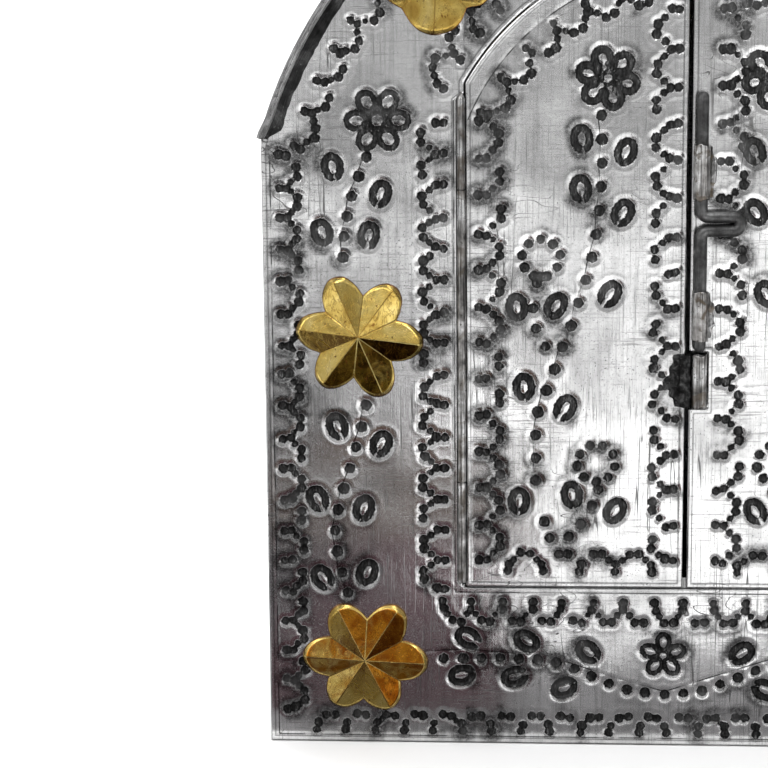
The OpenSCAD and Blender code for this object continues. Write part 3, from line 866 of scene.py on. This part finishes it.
# ---------------------------------------------------------------- materials
class Look:
    """A node material with short calls for the nodes that it is made of."""

    def __init__(self, name, metallic=1.0):
        self.material = bpy.data.materials.new(name)
        self.material.use_nodes = True
        self.tree = self.material.node_tree
        self.shader = self.tree.nodes["Principled BSDF"]
        self.shader.inputs["Metallic"].default_value = metallic
        self.place = self.node("ShaderNodeTexCoord").outputs["Object"]

    def node(self, kind):
        return self.tree.nodes.new(kind)

    def put(self, socket, value):
        if isinstance(value, bpy.types.NodeSocket):
            self.tree.links.new(value, socket)
        elif isinstance(value, tuple):
            socket.default_value = (*value, 1.0) if len(value) == 3 else value
        else:
            socket.default_value = value

    def stretched(self, x, y, z):
        """The object's coordinates in metres, times a scale along each axis."""
        mapping = self.node("ShaderNodeMapping")
        self.put(mapping.inputs["Vector"], self.place)
        mapping.inputs["Scale"].default_value = (x, y, z)
        return mapping.outputs["Vector"]

    def noise(self, scale, detail=3.0, vector=None, rough=0.55, twist=0.0):
        node = self.node("ShaderNodeTexNoise")
        self.put(node.inputs["Vector"], self.place if vector is None else vector)
        node.inputs["Scale"].default_value = scale
        node.inputs["Detail"].default_value = detail
        node.inputs["Roughness"].default_value = rough
        node.inputs["Distortion"].default_value = twist
        return node.outputs["Fac"]

    def range(self, value, low, high, to_low=0.0, to_high=1.0):
        node = self.node("ShaderNodeMapRange")
        node.interpolation_type = "SMOOTHSTEP"
        self.put(node.inputs["Value"], value)
        for name, number in (("From Min", low), ("From Max", high), ("To Min", to_low), ("To Max", to_high)):
            self.put(node.inputs[name], number)
        return node.outputs["Result"]

    def math(self, operation, a, b=0.0):
        node = self.node("ShaderNodeMath")
        node.operation = operation
        self.put(node.inputs[0], a)
        self.put(node.inputs[1], b)
        return node.outputs["Value"]

    def times(self, a, b):
        return self.math("MULTIPLY", a, b)

    def plus(self, a, b):
        return self.math("ADD", a, b)

    def most(self, a, b):
        return self.math("MAXIMUM", a, b)

    def mix(self, share, a, b, blend="MIX"):
        node = self.node("ShaderNodeMix")
        node.data_type = "RGBA"
        node.blend_type = blend
        self.put(node.inputs["Factor"], share)
        self.put(node.inputs[6], a)
        self.put(node.inputs[7], b)
        return node.outputs[2]

    def grey_ramp(self, value, *stops):
        """A ramp between greys, from pairs of a place and a grey."""
        return self.ramp(value, [(place, grey(level)) for place, level in stops])

    def tinted(self, share, tone, value, *stops):
        """The tone multiplied by a grey ramp of a value, as far as share goes."""
        return self.mix(share, tone, self.grey_ramp(value, *stops), "MULTIPLY")

    def combined(self, x, y, z=0.0):
        node = self.node("ShaderNodeCombineXYZ")
        for socket, value in zip(node.inputs, (x, y, z)):
            self.put(socket, value)
        return node.outputs["Vector"]

    def offset_x(self):
        """Distance from the plane of symmetry, in metres."""
        node = self.node("ShaderNodeSeparateXYZ")
        self.put(node.inputs[0], self.place)
        return self.math("ABSOLUTE", node.outputs["X"])

    def ramp(self, value, stops):
        node = self.node("ShaderNodeValToRGB")
        self.put(node.inputs["Fac"], value)
        elements = node.color_ramp.elements
        while len(elements) < len(stops):
            elements.new(0.5)
        for element, (place, colour) in zip(elements, stops):
            element.position = place
            element.color = (*colour, 1.0)
        return node.outputs["Color"]

    def attribute(self, name):
        node = self.node("ShaderNodeAttribute")
        node.attribute_name = name
        return node.outputs["Fac"]

    def bump(self, height, distance, strength=1.0, normal=None):
        node = self.node("ShaderNodeBump")
        node.inputs["Strength"].default_value = strength
        node.inputs["Distance"].default_value = distance
        self.put(node.inputs["Height"], height)
        if normal is not None:
            self.put(node.inputs["Normal"], normal)
        return node.outputs["Normal"]

    def finish(self, colour, roughness, normal=None):
        self.put(self.shader.inputs["Base Color"], colour)
        self.put(self.shader.inputs["Roughness"], roughness)
        if normal is not None:
            self.put(self.shader.inputs["Normal"], normal)
        return self.material


def grey(value, warm=0.0):
    return (value * (1 + warm), value, value * (1 - warm))


def thin_lines(look, field, patch_scale, from_patch):
    """Thin dark scratches along the middle contour of a noise field, only in some patches."""
    line = look.range(look.math("ABSOLUTE", look.math("SUBTRACT", field, 0.5)), 0.011, 0.003)
    return look.times(line, look.range(look.noise(patch_scale, 2), from_patch, from_patch + 0.1))


def hairs(look, x, y, z, patch_scale, low, high):
    """Fine dark hatching along the axis whose scale is small, in patches."""
    hair = look.range(look.noise(1.0, 3, look.stretched(x, y, z), rough=0.7), low, high)
    patch = look.range(look.noise(patch_scale, 3, twist=0.6), 0.38, 0.62, 0.25, 1.0)
    return look.times(hair, patch)


def tin_base(look):
    """Aged tin without its marks: clouds, hatching, scratches and specks. Gives colour, roughness, bump."""
    clouds = look.noise(30, 5, rough=0.6, twist=0.5)
    tone = look.grey_ramp(clouds, (0.34, 0.42), (0.46, 0.60), (0.60, 0.78))
    upright = hairs(look, 2300, 2300, 75, 27, 0.53, 0.66)
    level = hairs(look, 85, 85, 2500, 33, 0.54, 0.68)
    wipes = look.noise(1.0, 4, look.stretched(900, 900, 30), rough=0.7)
    tone = look.tinted(0.35, tone, wipes, (0.36, 0.45), (0.50, 0.95), (0.6, 1.0))
    scratch = thin_lines(look, look.noise(1.0, 1, look.stretched(420, 420, 9), twist=0.3), 30, 0.5)
    stray = thin_lines(look, look.noise(1.0, 1, look.stretched(70, 70, 190), twist=1.2), 41, 0.56)
    specks = look.range(look.noise(2100, 3, rough=0.7), 0.60, 0.68)
    hatch = look.most(upright, level)
    dirt = look.most(look.most(scratch, stray), look.times(specks, 0.8))
    dirt = look.most(dirt, look.times(hatch, 0.62))
    tone = look.mix(look.times(dirt, 0.85), tone, grey(0.06, 0.03))
    rough = look.plus(look.range(clouds, 0.3, 0.7, 0.25, 0.16), look.times(dirt, 0.15))
    height = look.plus(look.times(look.noise(600, 3), 0.5), look.times(dirt, -0.2))
    return tone, rough, height


def punched_tin():
    """The front's tin: black patina in the marks, a painted highlight round some, grime between."""
    look = Look("punched_tin_look")
    tone, rough, height = tin_base(look)
    grain = look.noise(1500, 4, rough=0.75)
    distance = look.attribute("mark")
    mark = look.plus(distance, look.range(look.noise(1100, 3, rough=0.7), 0.25, 0.75, -0.20, 0.20))
    edge = look.attribute("edge")
    patchy = look.range(look.noise(70, 3, twist=0.5), 0.42, 0.58)
    # Painted highlight: the tin round the marks is lightened in patches, standing in for light caught on the
    # slopes round them
    glow = look.times(look.range(distance, -2.1, -0.3), patchy)
    by_hinge = look.times(look.range(look.offset_x(), 0.038, 0.048),
                          look.range(look.offset_x(), 0.0552, 0.0546))
    by_wall = look.range(look.offset_x(), 0.093, 0.099)
    touched = look.plus(look.times(by_hinge, 0.13), look.times(by_wall, 0.09))
    smudge = look.plus(look.noise(52, 4, twist=0.6), touched)
    grime = look.times(look.range(distance, -3.0, -1.2), look.range(smudge, 0.50, 0.62))
    # Lays the painted highlight round the marks over the tin
    tone = look.mix(look.times(glow, 0.18), tone, grey(0.9, 0.01))
    tone = look.mix(look.times(grime, 0.85), tone,
                    look.grey_ramp(grain, (0.42, 0.03), (0.60, 0.26)))
    ribs = look.grey_ramp(look.range(mark, -0.2, 1.1),
                          (0.0, 0.030), (0.35, 0.024), (0.65, 0.060), (1.0, 0.045))
    rubbed = look.noise(1.0, 4, look.stretched(1300, 1300, 420), rough=0.75)
    recess = look.tinted(0.9, ribs, rubbed, (0.38, 0.2), (0.6, 1.0))
    recess = look.mix(look.range(rubbed, 0.58, 0.70, 0.0, 0.6), recess, grey(0.30))
    recess = look.mix(look.range(look.noise(90, 2), 0.52, 0.66, 0.0, 0.22), recess, grey(0.20))
    inside = look.range(mark, -0.13, 0.07)
    tone = look.mix(inside, tone, recess)
    line = look.range(look.math("ABSOLUTE", look.attribute("scribe")), 0.22, 0.08)
    line = look.times(line, look.range(look.noise(160, 2), 0.38, 0.55, 0.15, 0.9))
    tone = look.mix(line, tone, grey(0.03))
    hem = look.times(look.range(edge, 1.5, 1.15), look.range(edge, 0.85, 1.05))
    rim = look.range(edge, 0.35, 0.05)
    tone = look.mix(look.times(look.most(hem, rim), 0.6), tone, grey(0.06))
    rough = look.plus(rough, look.times(inside, 0.22))
    rough = look.math("SUBTRACT", rough, look.times(glow, 0.04))
    height = look.plus(height, look.times(look.times(grain, inside), 3.0))
    return look.finish(tone, rough, look.bump(height, 0.00005))


def plain_tin():
    """Unpunched aged tin for the walls, roof, back, floor and small sheet parts."""
    look = Look("plain_tin_look")
    tone, rough, height = tin_base(look)
    stains = look.noise(17, 5, rough=0.65, twist=0.7)
    tone = look.tinted(0.9, tone, stains, (0.36, 0.30), (0.5, 0.46), (0.62, 0.58))
    return look.finish(tone, look.plus(rough, 0.08), look.bump(height, 0.00005))


def rolled_tin(name, low, mid, high, stain=0.0):
    """Rolled and rubbed tin of the bead, the knuckles and the sleeves, with dark pits, wipes and stains."""
    look = Look(name)
    clouds = look.noise(190, 4, rough=0.6)
    wipes = look.noise(1.0, 3, look.stretched(2300, 2300, 60), rough=0.7)
    tone = look.ramp(clouds, [(0.32, grey(low, 0.03)), (0.46, grey(mid, 0.03)), (0.62, grey(high))])
    tone = look.tinted(0.85, tone, wipes, (0.40, 0.10), (0.49, 0.65), (0.57, 1.0))
    stained = look.times(look.range(look.noise(240, 3, twist=0.8), 0.52, 0.6), stain)
    tone = look.mix(stained, tone, (0.09, 0.07, 0.05))
    pits = look.range(look.noise(1300, 2), 0.64, 0.70)
    tone = look.mix(look.times(pits, 0.8), tone, grey(0.05, 0.1))
    rough = look.range(clouds, 0.35, 0.65, 0.42, 0.26)
    return look.finish(tone, rough, look.bump(look.math("SUBTRACT", wipes, pits), 0.00006))


def bead_look():
    """The rim's bead: rubbed tin, streaked along the arc."""
    look = Look("bead_tin_look")
    along, across = look.attribute("along"), look.attribute("across")
    streaked = look.combined(look.times(along, 0.22), look.times(across, 16))
    streaks = look.noise(1.0, 5, streaked, rough=0.75)
    clouds = look.noise(120, 4, rough=0.6)
    tone = look.grey_ramp(streaks, (0.34, 0.05), (0.47, 0.20), (0.60, 0.52), (0.7, 0.7))
    tone = look.tinted(0.7, tone, clouds, (0.36, 0.45), (0.6, 1.0))
    pits = look.range(look.noise(1700, 2), 0.60, 0.67)
    tone = look.mix(look.times(pits, 0.7), tone, grey(0.04))
    rough = look.range(clouds, 0.35, 0.65, 0.42, 0.28)
    return look.finish(tone, rough, look.bump(look.math("SUBTRACT", streaks, pits), 0.00008))


def solder_look(name, dark, mid, light, size):
    """Dull lumpy solder with wiped streaks along the rim where the piece carries them."""
    look = Look(name, metallic=0.9)
    blotch = look.noise(size, 5, rough=0.65, twist=0.6)
    grain = look.noise(1100, 3)
    along, across = look.attribute("along"), look.attribute("across")
    streaked = look.combined(look.times(along, 0.16), look.times(across, 26))
    streaks = look.noise(1.0, 4, streaked, rough=0.7)
    tone = look.grey_ramp(blotch, (0.34, dark), (0.5, mid), (0.68, light))
    tone = look.tinted(0.8, tone, streaks, (0.38, 0.12), (0.5, 0.6), (0.6, 1.0))
    tone = look.mix(look.range(grain, 0.66, 0.74, 0.0, 0.6), tone, grey(light * 1.6))
    rough = look.range(blotch, 0.3, 0.7, 0.62, 0.36)
    height = look.plus(look.plus(blotch, look.times(grain, 0.25)),
                       look.times(streaks, 0.5))
    return look.finish(tone, rough, look.bump(height, 0.00018))


def wire_look():
    """Dark drawn steel wire with drawn lines and worn grey flats."""
    look = Look("dark_wire_look", metallic=0.85)
    blotch = look.noise(260, 4, rough=0.6)
    drawn = look.noise(1.0, 3, look.stretched(2600, 2600, 130), rough=0.6)
    tone = look.grey_ramp(blotch, (0.34, 0.03), (0.52, 0.07), (0.7, 0.15))
    tone = look.tinted(0.5, tone, drawn, (0.3, 0.4), (0.6, 1.0))
    rough = look.range(blotch, 0.3, 0.7, 0.55, 0.34)
    return look.finish(tone, rough, look.bump(drawn, 0.00006))


def brass_look(name, painted_shade_colours):
    """Embossed brass leaf: gold with patchy tarnish, painted shade on some facets, specks, fine creases,
    painted light and shade along the folds and a painted highlight inside the rolled lip.
    """
    look = Look(name)
    tarnish = look.noise(120, 4, rough=0.6, twist=0.8)
    tone = look.ramp(tarnish, [(0.30, (0.30, 0.18, 0.035)), (0.42, (0.45, 0.31, 0.075)),
                               (0.56, (0.55, 0.41, 0.12)), (0.72, (0.68, 0.54, 0.22))])
    blotch = look.noise(170, 4, rough=0.65, twist=1.0)
    # Painted shade: chosen facets are darkened towards the shade colours, standing in for their darker
    # reflections
    shade = look.plus(look.attribute("shade"), look.range(blotch, 0.3, 0.7, -0.25, 0.2))
    painted_facet_shade = look.ramp(look.noise(300, 3, twist=0.5), [(0.38, painted_shade_colours[0]), (0.62, painted_shade_colours[1])])
    tone = look.mix(look.range(shade, 0.12, 0.75), tone, painted_facet_shade)
    creases = look.noise(1.0, 3, look.stretched(500, 500, 160), rough=0.6, twist=1.2)
    fine = look.range(look.math("ABSOLUTE", look.math("SUBTRACT", creases, 0.5)), 0.02, 0.004)
    specks = look.range(look.noise(800, 2), 0.68, 0.72)
    fold = look.range(look.attribute("fold"), 0.20, 0.03)
    tone = look.mix(look.times(fine, 0.4), tone, (0.20, 0.09, 0.015))
    # Painted light and shade along the folds: a dark line on shaded facets, a bright gold line on the others
    painted_crease_light_and_shade = look.mix(look.range(shade, 0.3, 0.6), (0.18, 0.08, 0.012), (0.80, 0.66, 0.25))
    tone = look.mix(look.times(fold, 0.6), tone, painted_crease_light_and_shade)
    tone = look.mix(look.times(specks, 0.75), tone, (0.12, 0.04, 0.01))
    # Painted highlight: a bright gold band just inside the rolled lip of the shaded facets
    lip = look.times(look.range(look.attribute("rim"), 0.925, 0.945), look.range(shade, 0.2, 0.5))
    tone = look.mix(look.times(lip, 0.8), tone, (0.66, 0.50, 0.16))
    rim = look.range(look.attribute("rim"), 0.970, 0.995)
    tone = look.mix(look.times(rim, 0.85), tone, (0.13, 0.03, 0.012))
    rough = look.range(tarnish, 0.3, 0.7, 0.30, 0.17)
    height = look.plus(look.noise(420, 3), look.times(fine, -0.5))
    return look.finish(tone, rough, look.bump(height, 0.00005))


def paint(obj, material):
    obj.data.materials.clear()
    obj.data.materials.append(material)
    return obj


# ---------------------------------------------------------------- the pieces
def stand_in(piece, look, body, node):
    """Paints a piece and lets it ride its body in place of a CAD node."""
    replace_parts(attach(paint(piece, look), body), node)


def make_front():
    tin = punched_tin()
    panel = relief_sheet("punched_front", panel_relief(), panel_distance, seed=SEED)
    stand_in(panel, tin, "case", "front_panel")
    for side, distance in ((-1, left_door_distance), (1, right_door_distance)):
        node = "left_door" if side < 0 else "right_door"
        door = relief_sheet("punched_" + node, door_relief(side), distance, hem=True, seed=SEED + 7 * side)
        stand_in(door, tin, node, node)


def make_case():
    tin = plain_tin()
    back = relief_sheet("back_sheet", plain_sheet_relief(), case_distance, face_y=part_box("back_panel")[1][1],
                        inwards=-1, seed=SEED + 61)
    made = {"back_panel": back, "left_side_wall": side_wall(-1), "right_side_wall": side_wall(1),
            "roof": roof_sheet()}
    for node, piece in made.items():
        stand_in(piece, tin, "case", node)
    for node in ("floor_panel", "sill_stop", "head_stop"):
        paint(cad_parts[node], tin)


def make_rim():
    bead = swept_arch("rolled_bead", bead_profile, 900)
    stand_in(bead, bead_look(), "case", "rim_bead")
    wire = swept_arch("rim_wire_run", wire_profile, 300, WIRE_INSET)
    stand_in(wire, wire_look(), "case", "rim_wire")
    fillet = swept_arch("rim_solder_run", rim_solder_profile, 700)
    # The fillet is dark solder, painted near black so that it also stands for the shade under the roof's lip
    dark = solder_look("rim_solder_and_painted_shade_look", 0.014, 0.040, 0.13, 160)
    stand_in(fillet, dark, "case", "rim_solder")
    paint(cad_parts["seam_solder"], dark)


def make_hinges():
    tin = rolled_tin("knuckle_tin_look", 0.10, 0.30, 0.70, stain=0.45)
    wire = wire_look()
    for word in ("left", "right"):
        for node in (word + "_upper_frame_knuckle", word + "_lower_frame_knuckle", word + "_door_knuckle"):
            paint(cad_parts[node], tin)
        paint(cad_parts[word + "_hinge_pin"], tin)
    paint(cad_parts["sliding_bolt"], wire)


def make_latch():
    tin = rolled_tin("sleeve_tin_look", 0.12, 0.36, 0.74, stain=0.8)
    rod_r = (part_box("sliding_bolt")[1][1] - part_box("sliding_bolt")[0][1]) / 2
    bore_r = rod_r + 0.00008
    for i, node in enumerate(("upper_bolt_sleeve", "lower_bolt_sleeve")):
        sleeve = rolled_tube(node + "_roll", node, bore_r, 200 + 40 * i, SEED + 71 + i)
        stand_in(sleeve, tin, "right_door", node)
    dark = solder_look("latch_solder_look", 0.006, 0.022, 0.11, 520)
    keeper = rolled_tube("bolt_keeper_roll", "bolt_keeper", bore_r, 150, SEED + 75)
    keeper_tin = rolled_tin("keeper_tin_look", 0.12, 0.30, 0.60, stain=0.6)
    stand_in(keeper, keeper_tin, "left_door", "bolt_keeper")
    lo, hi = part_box("keeper_solder")
    patch = solder_lump("keeper_solder_lump", patch_boxes(lo, hi), SEED + 81, 0.00035)
    stand_in(patch, dark, "left_door", "keeper_solder")
    stained = rolled_tin("sleeve_solder_look", 0.05, 0.16, 0.36, stain=0.8)
    beads = solder_lump("sleeve_solder_lumps", sleeve_boxes(), SEED + 83, 0.00018)
    stand_in(beads, stained, "right_door", "sleeve_solder")


PATCH_X = -0.0021
PATCH_Y = FRONT_Y - 0.0011
LUMP_Y = FRONT_Y - 0.0010
SOLDER_BACK_Y = FRONT_Y - 0.00005


def patch_boxes(lo, hi):
    """Overlapping boxes of the keeper's solder: a flat patch with a ragged left edge and the bridge."""
    bridge_to = KEEPER[0][0] - 0.0001
    boxes = [(Vector((PATCH_X, lo[1] + 0.0002, lo[2])), Vector((bridge_to, FRONT_Y - 0.0002, hi[2])))]
    height = hi[2] - lo[2]
    for low, high, reach in ((0.0, 0.25, 0.30), (0.18, 0.42, 0.60), (0.32, 0.56, 1.0), (0.5, 0.78, 0.55),
                             (0.72, 1.0, 0.42)):
        left = -0.002 + (lo[0] + 0.002) * reach
        boxes.append((Vector((left, PATCH_Y, lo[2] + low * height)),
                      Vector((-DOOR_GAP_X - 0.0001, SOLDER_BACK_Y, lo[2] + high * height))))
    return boxes


def sleeve_boxes():
    """Boxes of the solder that runs along the outer flank of each sleeve."""
    boxes = []
    for node in ("upper_bolt_sleeve", "lower_bolt_sleeve"):
        lo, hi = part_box(node)
        flank = hi[0] - 0.0006
        for low, high, width in ((0.06, 0.4, 0.0016), (0.3, 0.75, 0.0022), (0.7, 0.95, 0.0012)):
            length = hi[2] - lo[2]
            boxes.append((Vector((flank, LUMP_Y, lo[2] + low * length)),
                          Vector((flank + width, SOLDER_BACK_Y, lo[2] + high * length))))
    return boxes


# The tips of the petals, then how much painted shade each facet gets, two to a petal
FLOWERS = {
    "upper": Flower((0.0152, 0.0152, 0.0152, 0.0112, 0.0152), (0.1, 0.0) * 5, 0.0118, -93,
                    widen=0.20, lean=0.0009),
    "middle": Flower((0.0165, 0.0158, 0.0162, 0.0159, 0.0158, 0.0165),
                     (0.85, 0.1, 0.0, 0.1, 0.15, 0.05, 0.25, 0.0, 0.0, 1.0, 0.95, 0.7), 0.0106, -7),
    "lower": Flower((0.0164, 0.0165, 0.0159, 0.0163, 0.0149, 0.0149),
                    (0.55, 0.75, 0.85, 0.8, 0.8, 0.05, 0.6, 0.5, 0.45, 0.0, 0.0, 0.8), 0.0108, -3),
}
FLOWER_AT = {"upper": (0.0614, 0.1936), "middle": (0.0814, 0.1048), "lower": (0.0805, 0.0219)}
# Colours of the painted facet shade for each row of flowers
FLOWER_PAINTED_SHADE = {"upper": ((0.30, 0.18, 0.03), (0.40, 0.26, 0.06)),
                "middle": ((0.030, 0.014, 0.002), (0.10, 0.06, 0.008)),
                "lower": ((0.20, 0.055, 0.004), (0.32, 0.13, 0.012))}


def make_flowers():
    for i, (row, flower) in enumerate(FLOWERS.items()):
        brass = brass_look(row + "_brass_look", FLOWER_PAINTED_SHADE[row])
        x, z = FLOWER_AT[row]
        for side, word in ((-1, "left"), (1, "right")):
            node = row + "_" + word + "_flower"
            seed = SEED + 90 + 2 * i + (side > 0)
            piece = flower_mesh(flower, node + "_brass", side * x, z, side > 0, seed)
            stand_in(piece, brass, "case", node)


# ---------------------------------------------------------------- stage, lights and camera
CAMERA_AT = Vector((-0.04064, -0.55715, 0.17496))
CAMERA_PITCH = math.radians(9.007)
CAMERA_YAW = math.radians(3.815)
CAMERA_ROLL = math.radians(-0.514)
CAMERA_LENS = 98.44
CAMERA_SENSOR = 36.0
FLOOR_Z = -0.0003
ROOM_DIM = 0.3
ROOM_BRIGHT = 1.1


def aim(yaw, pitch, roll):
    """Rotation of a camera turned left by yaw, down by pitch and rolled about its own line of sight."""
    forward = Vector((-math.sin(yaw) * math.cos(pitch), math.cos(yaw) * math.cos(pitch), -math.sin(pitch)))
    right = Vector((math.cos(yaw), math.sin(yaw), 0))
    up = right.cross(forward)
    rolled_right = right * math.cos(roll) + up * math.sin(roll)
    rolled_up = up * math.cos(roll) - right * math.sin(roll)
    return Matrix((rolled_right, rolled_up, -forward)).transposed()


def make_camera():
    data = bpy.data.cameras.new("camera")
    data.lens = CAMERA_LENS
    data.sensor_width = CAMERA_SENSOR
    data.clip_start = 0.01
    data.clip_end = 50
    camera = bpy.data.objects.new("camera", data)
    bpy.context.scene.collection.objects.link(camera)
    camera.matrix_world = Matrix.Translation(CAMERA_AT) @ aim(CAMERA_YAW, CAMERA_PITCH, CAMERA_ROLL).to_4x4()
    bpy.context.scene.camera = camera


def soft_light(name, place, target, size, power, colour=(1, 1, 1)):
    data = bpy.data.lights.new(name, "AREA")
    data.shape = "RECTANGLE"
    data.size, data.size_y = size
    data.energy = power
    data.color = colour
    light = bpy.data.objects.new(name, data)
    bpy.context.scene.collection.objects.link(light)
    light.location = place
    light.rotation_euler = (Vector(target) - Vector(place)).to_track_quat("-Z", "Y").to_euler()
    light.visible_camera = False


def matt(name, colour):
    material = bpy.data.materials.new(name)
    material.use_nodes = True
    shader = material.node_tree.nodes["Principled BSDF"]
    shader.inputs["Base Color"].default_value = (*colour, 1.0)
    shader.inputs["Roughness"].default_value = 0.9
    return material


def flat_card(name, corners, material):
    mesh = bpy.data.meshes.new(name)
    mesh.from_pydata(corners, [], [(0, 1, 2, 3)])
    card = new_object(name, mesh)
    mesh.materials.append(material)
    return card


def backdrop():
    """A pale floor that sweeps up behind into a wall."""
    half_w, front, back, bend_r, top, steps = 4.0, -4.0, 1.2, 1.0, 3.5, 16
    line = [(front, FLOOR_Z), (back, FLOOR_Z)]
    for i in range(1, steps + 1):
        t = math.pi / 2 * i / steps
        line.append((back + bend_r * math.sin(t), FLOOR_Z + bend_r * (1 - math.cos(t))))
    line.append((back + bend_r, top))
    verts = [(x, y, z) for y, z in line for x in (-half_w, half_w)]
    faces = [(2 * i, 2 * i + 1, 2 * i + 3, 2 * i + 2) for i in range(len(line) - 1)]
    mesh = bpy.data.meshes.new("floor")
    mesh.from_pydata(verts, [], faces)
    mesh.polygons.foreach_set("use_smooth", [True] * len(faces))
    floor = new_object("floor", mesh)
    mesh.materials.append(matt("floor_paper", (0.92, 0.92, 0.92)))


def reflected_card(name, corners, colour):
    """A card that only the metal sees: it darkens reflections and casts no shade."""
    card = flat_card(name, corners, matt(name + "_paint", colour))
    card.visible_camera = False
    card.visible_diffuse = False
    card.visible_shadow = False


def studio_world():
    """White to the camera; to the metal, a soft room that is brightest above and to the left."""
    world = bpy.data.worlds.new("studio")
    world.use_nodes = True
    tree = world.node_tree
    tree.nodes.clear()
    place = tree.nodes.new("ShaderNodeTexCoord")
    split = tree.nodes.new("ShaderNodeSeparateXYZ")
    lean = tree.nodes.new("ShaderNodeMath")
    lean.operation = "MULTIPLY_ADD"
    lean.inputs[1].default_value = -0.45
    glow = tree.nodes.new("ShaderNodeMapRange")
    for name, number in (("From Min", -0.5), ("From Max", 0.9),
                         ("To Min", ROOM_DIM), ("To Max", ROOM_BRIGHT)):
        glow.inputs[name].default_value = number
    rays = tree.nodes.new("ShaderNodeLightPath")
    pick = tree.nodes.new("ShaderNodeMix")
    pick.inputs["B"].default_value = 1.0
    background = tree.nodes.new("ShaderNodeBackground")
    out = tree.nodes.new("ShaderNodeOutputWorld")
    tree.links.new(place.outputs["Generated"], split.inputs[0])
    tree.links.new(split.outputs["X"], lean.inputs[0])
    tree.links.new(split.outputs["Z"], lean.inputs[2])
    tree.links.new(lean.outputs[0], glow.inputs["Value"])
    tree.links.new(rays.outputs["Is Camera Ray"], pick.inputs["Factor"])
    tree.links.new(glow.outputs["Result"], pick.inputs["A"])
    tree.links.new(pick.outputs["Result"], background.inputs["Strength"])
    tree.links.new(background.outputs[0], out.inputs["Surface"])
    bpy.context.scene.world = world


def level_card(name, near_y, near_x, far_y, far_x, colour, z=FLOOR_Z + 0.001):
    """A level card in front, seen only in the metal; each edge runs between two x values."""
    corners = [(near_x[0], near_y, z), (near_x[1], near_y, z), (far_x[1], far_y, z), (far_x[0], far_y, z)]
    reflected_card(name, corners, colour)


def make_stage():
    bpy.context.scene.view_settings.view_transform = "Standard"
    studio_world()
    backdrop()
    level_card("sill_card", -0.045, (-0.30, 0.30), -0.13, (-0.30, 0.30), (0.20, 0.195, 0.20))
    level_card("mauve_card", -0.06, (-0.118, -0.045), -0.42, (-0.130, -0.045), (0.040, 0.010, 0.016),
               z=FLOOR_Z + 0.002)
    level_card("dark_card", -0.13, (-0.220, -0.112), -0.80, (-0.42, -0.055), (0.018, 0.016, 0.018),
               z=FLOOR_Z + 0.003)
    level_card("low_card", -0.10, (-0.115, -0.036), -0.19, (-0.125, -0.036), (0.05, 0.028, 0.018), z=0.04)
    soft_light("key", (-1.3, -1.5, 1.7), (0, 0, 0.12), (1.5, 1.5), 16)
    soft_light("fill", (1.0, -0.8, 0.6), (0, 0, 0.1), (0.7, 0.9), 1)
    soft_light("floor_glow", (0.14, -0.62, 0.7), (0.10, -0.56, 0), (0.3, 0.3), 2)
    soft_light("top", (0.1, 0.5, 1.6), (0, 0.4, 0), (1.6, 1.2), 40)


make_front()
make_case()
make_rim()
make_hinges()
make_latch()
make_flowers()
make_stage()
make_camera()
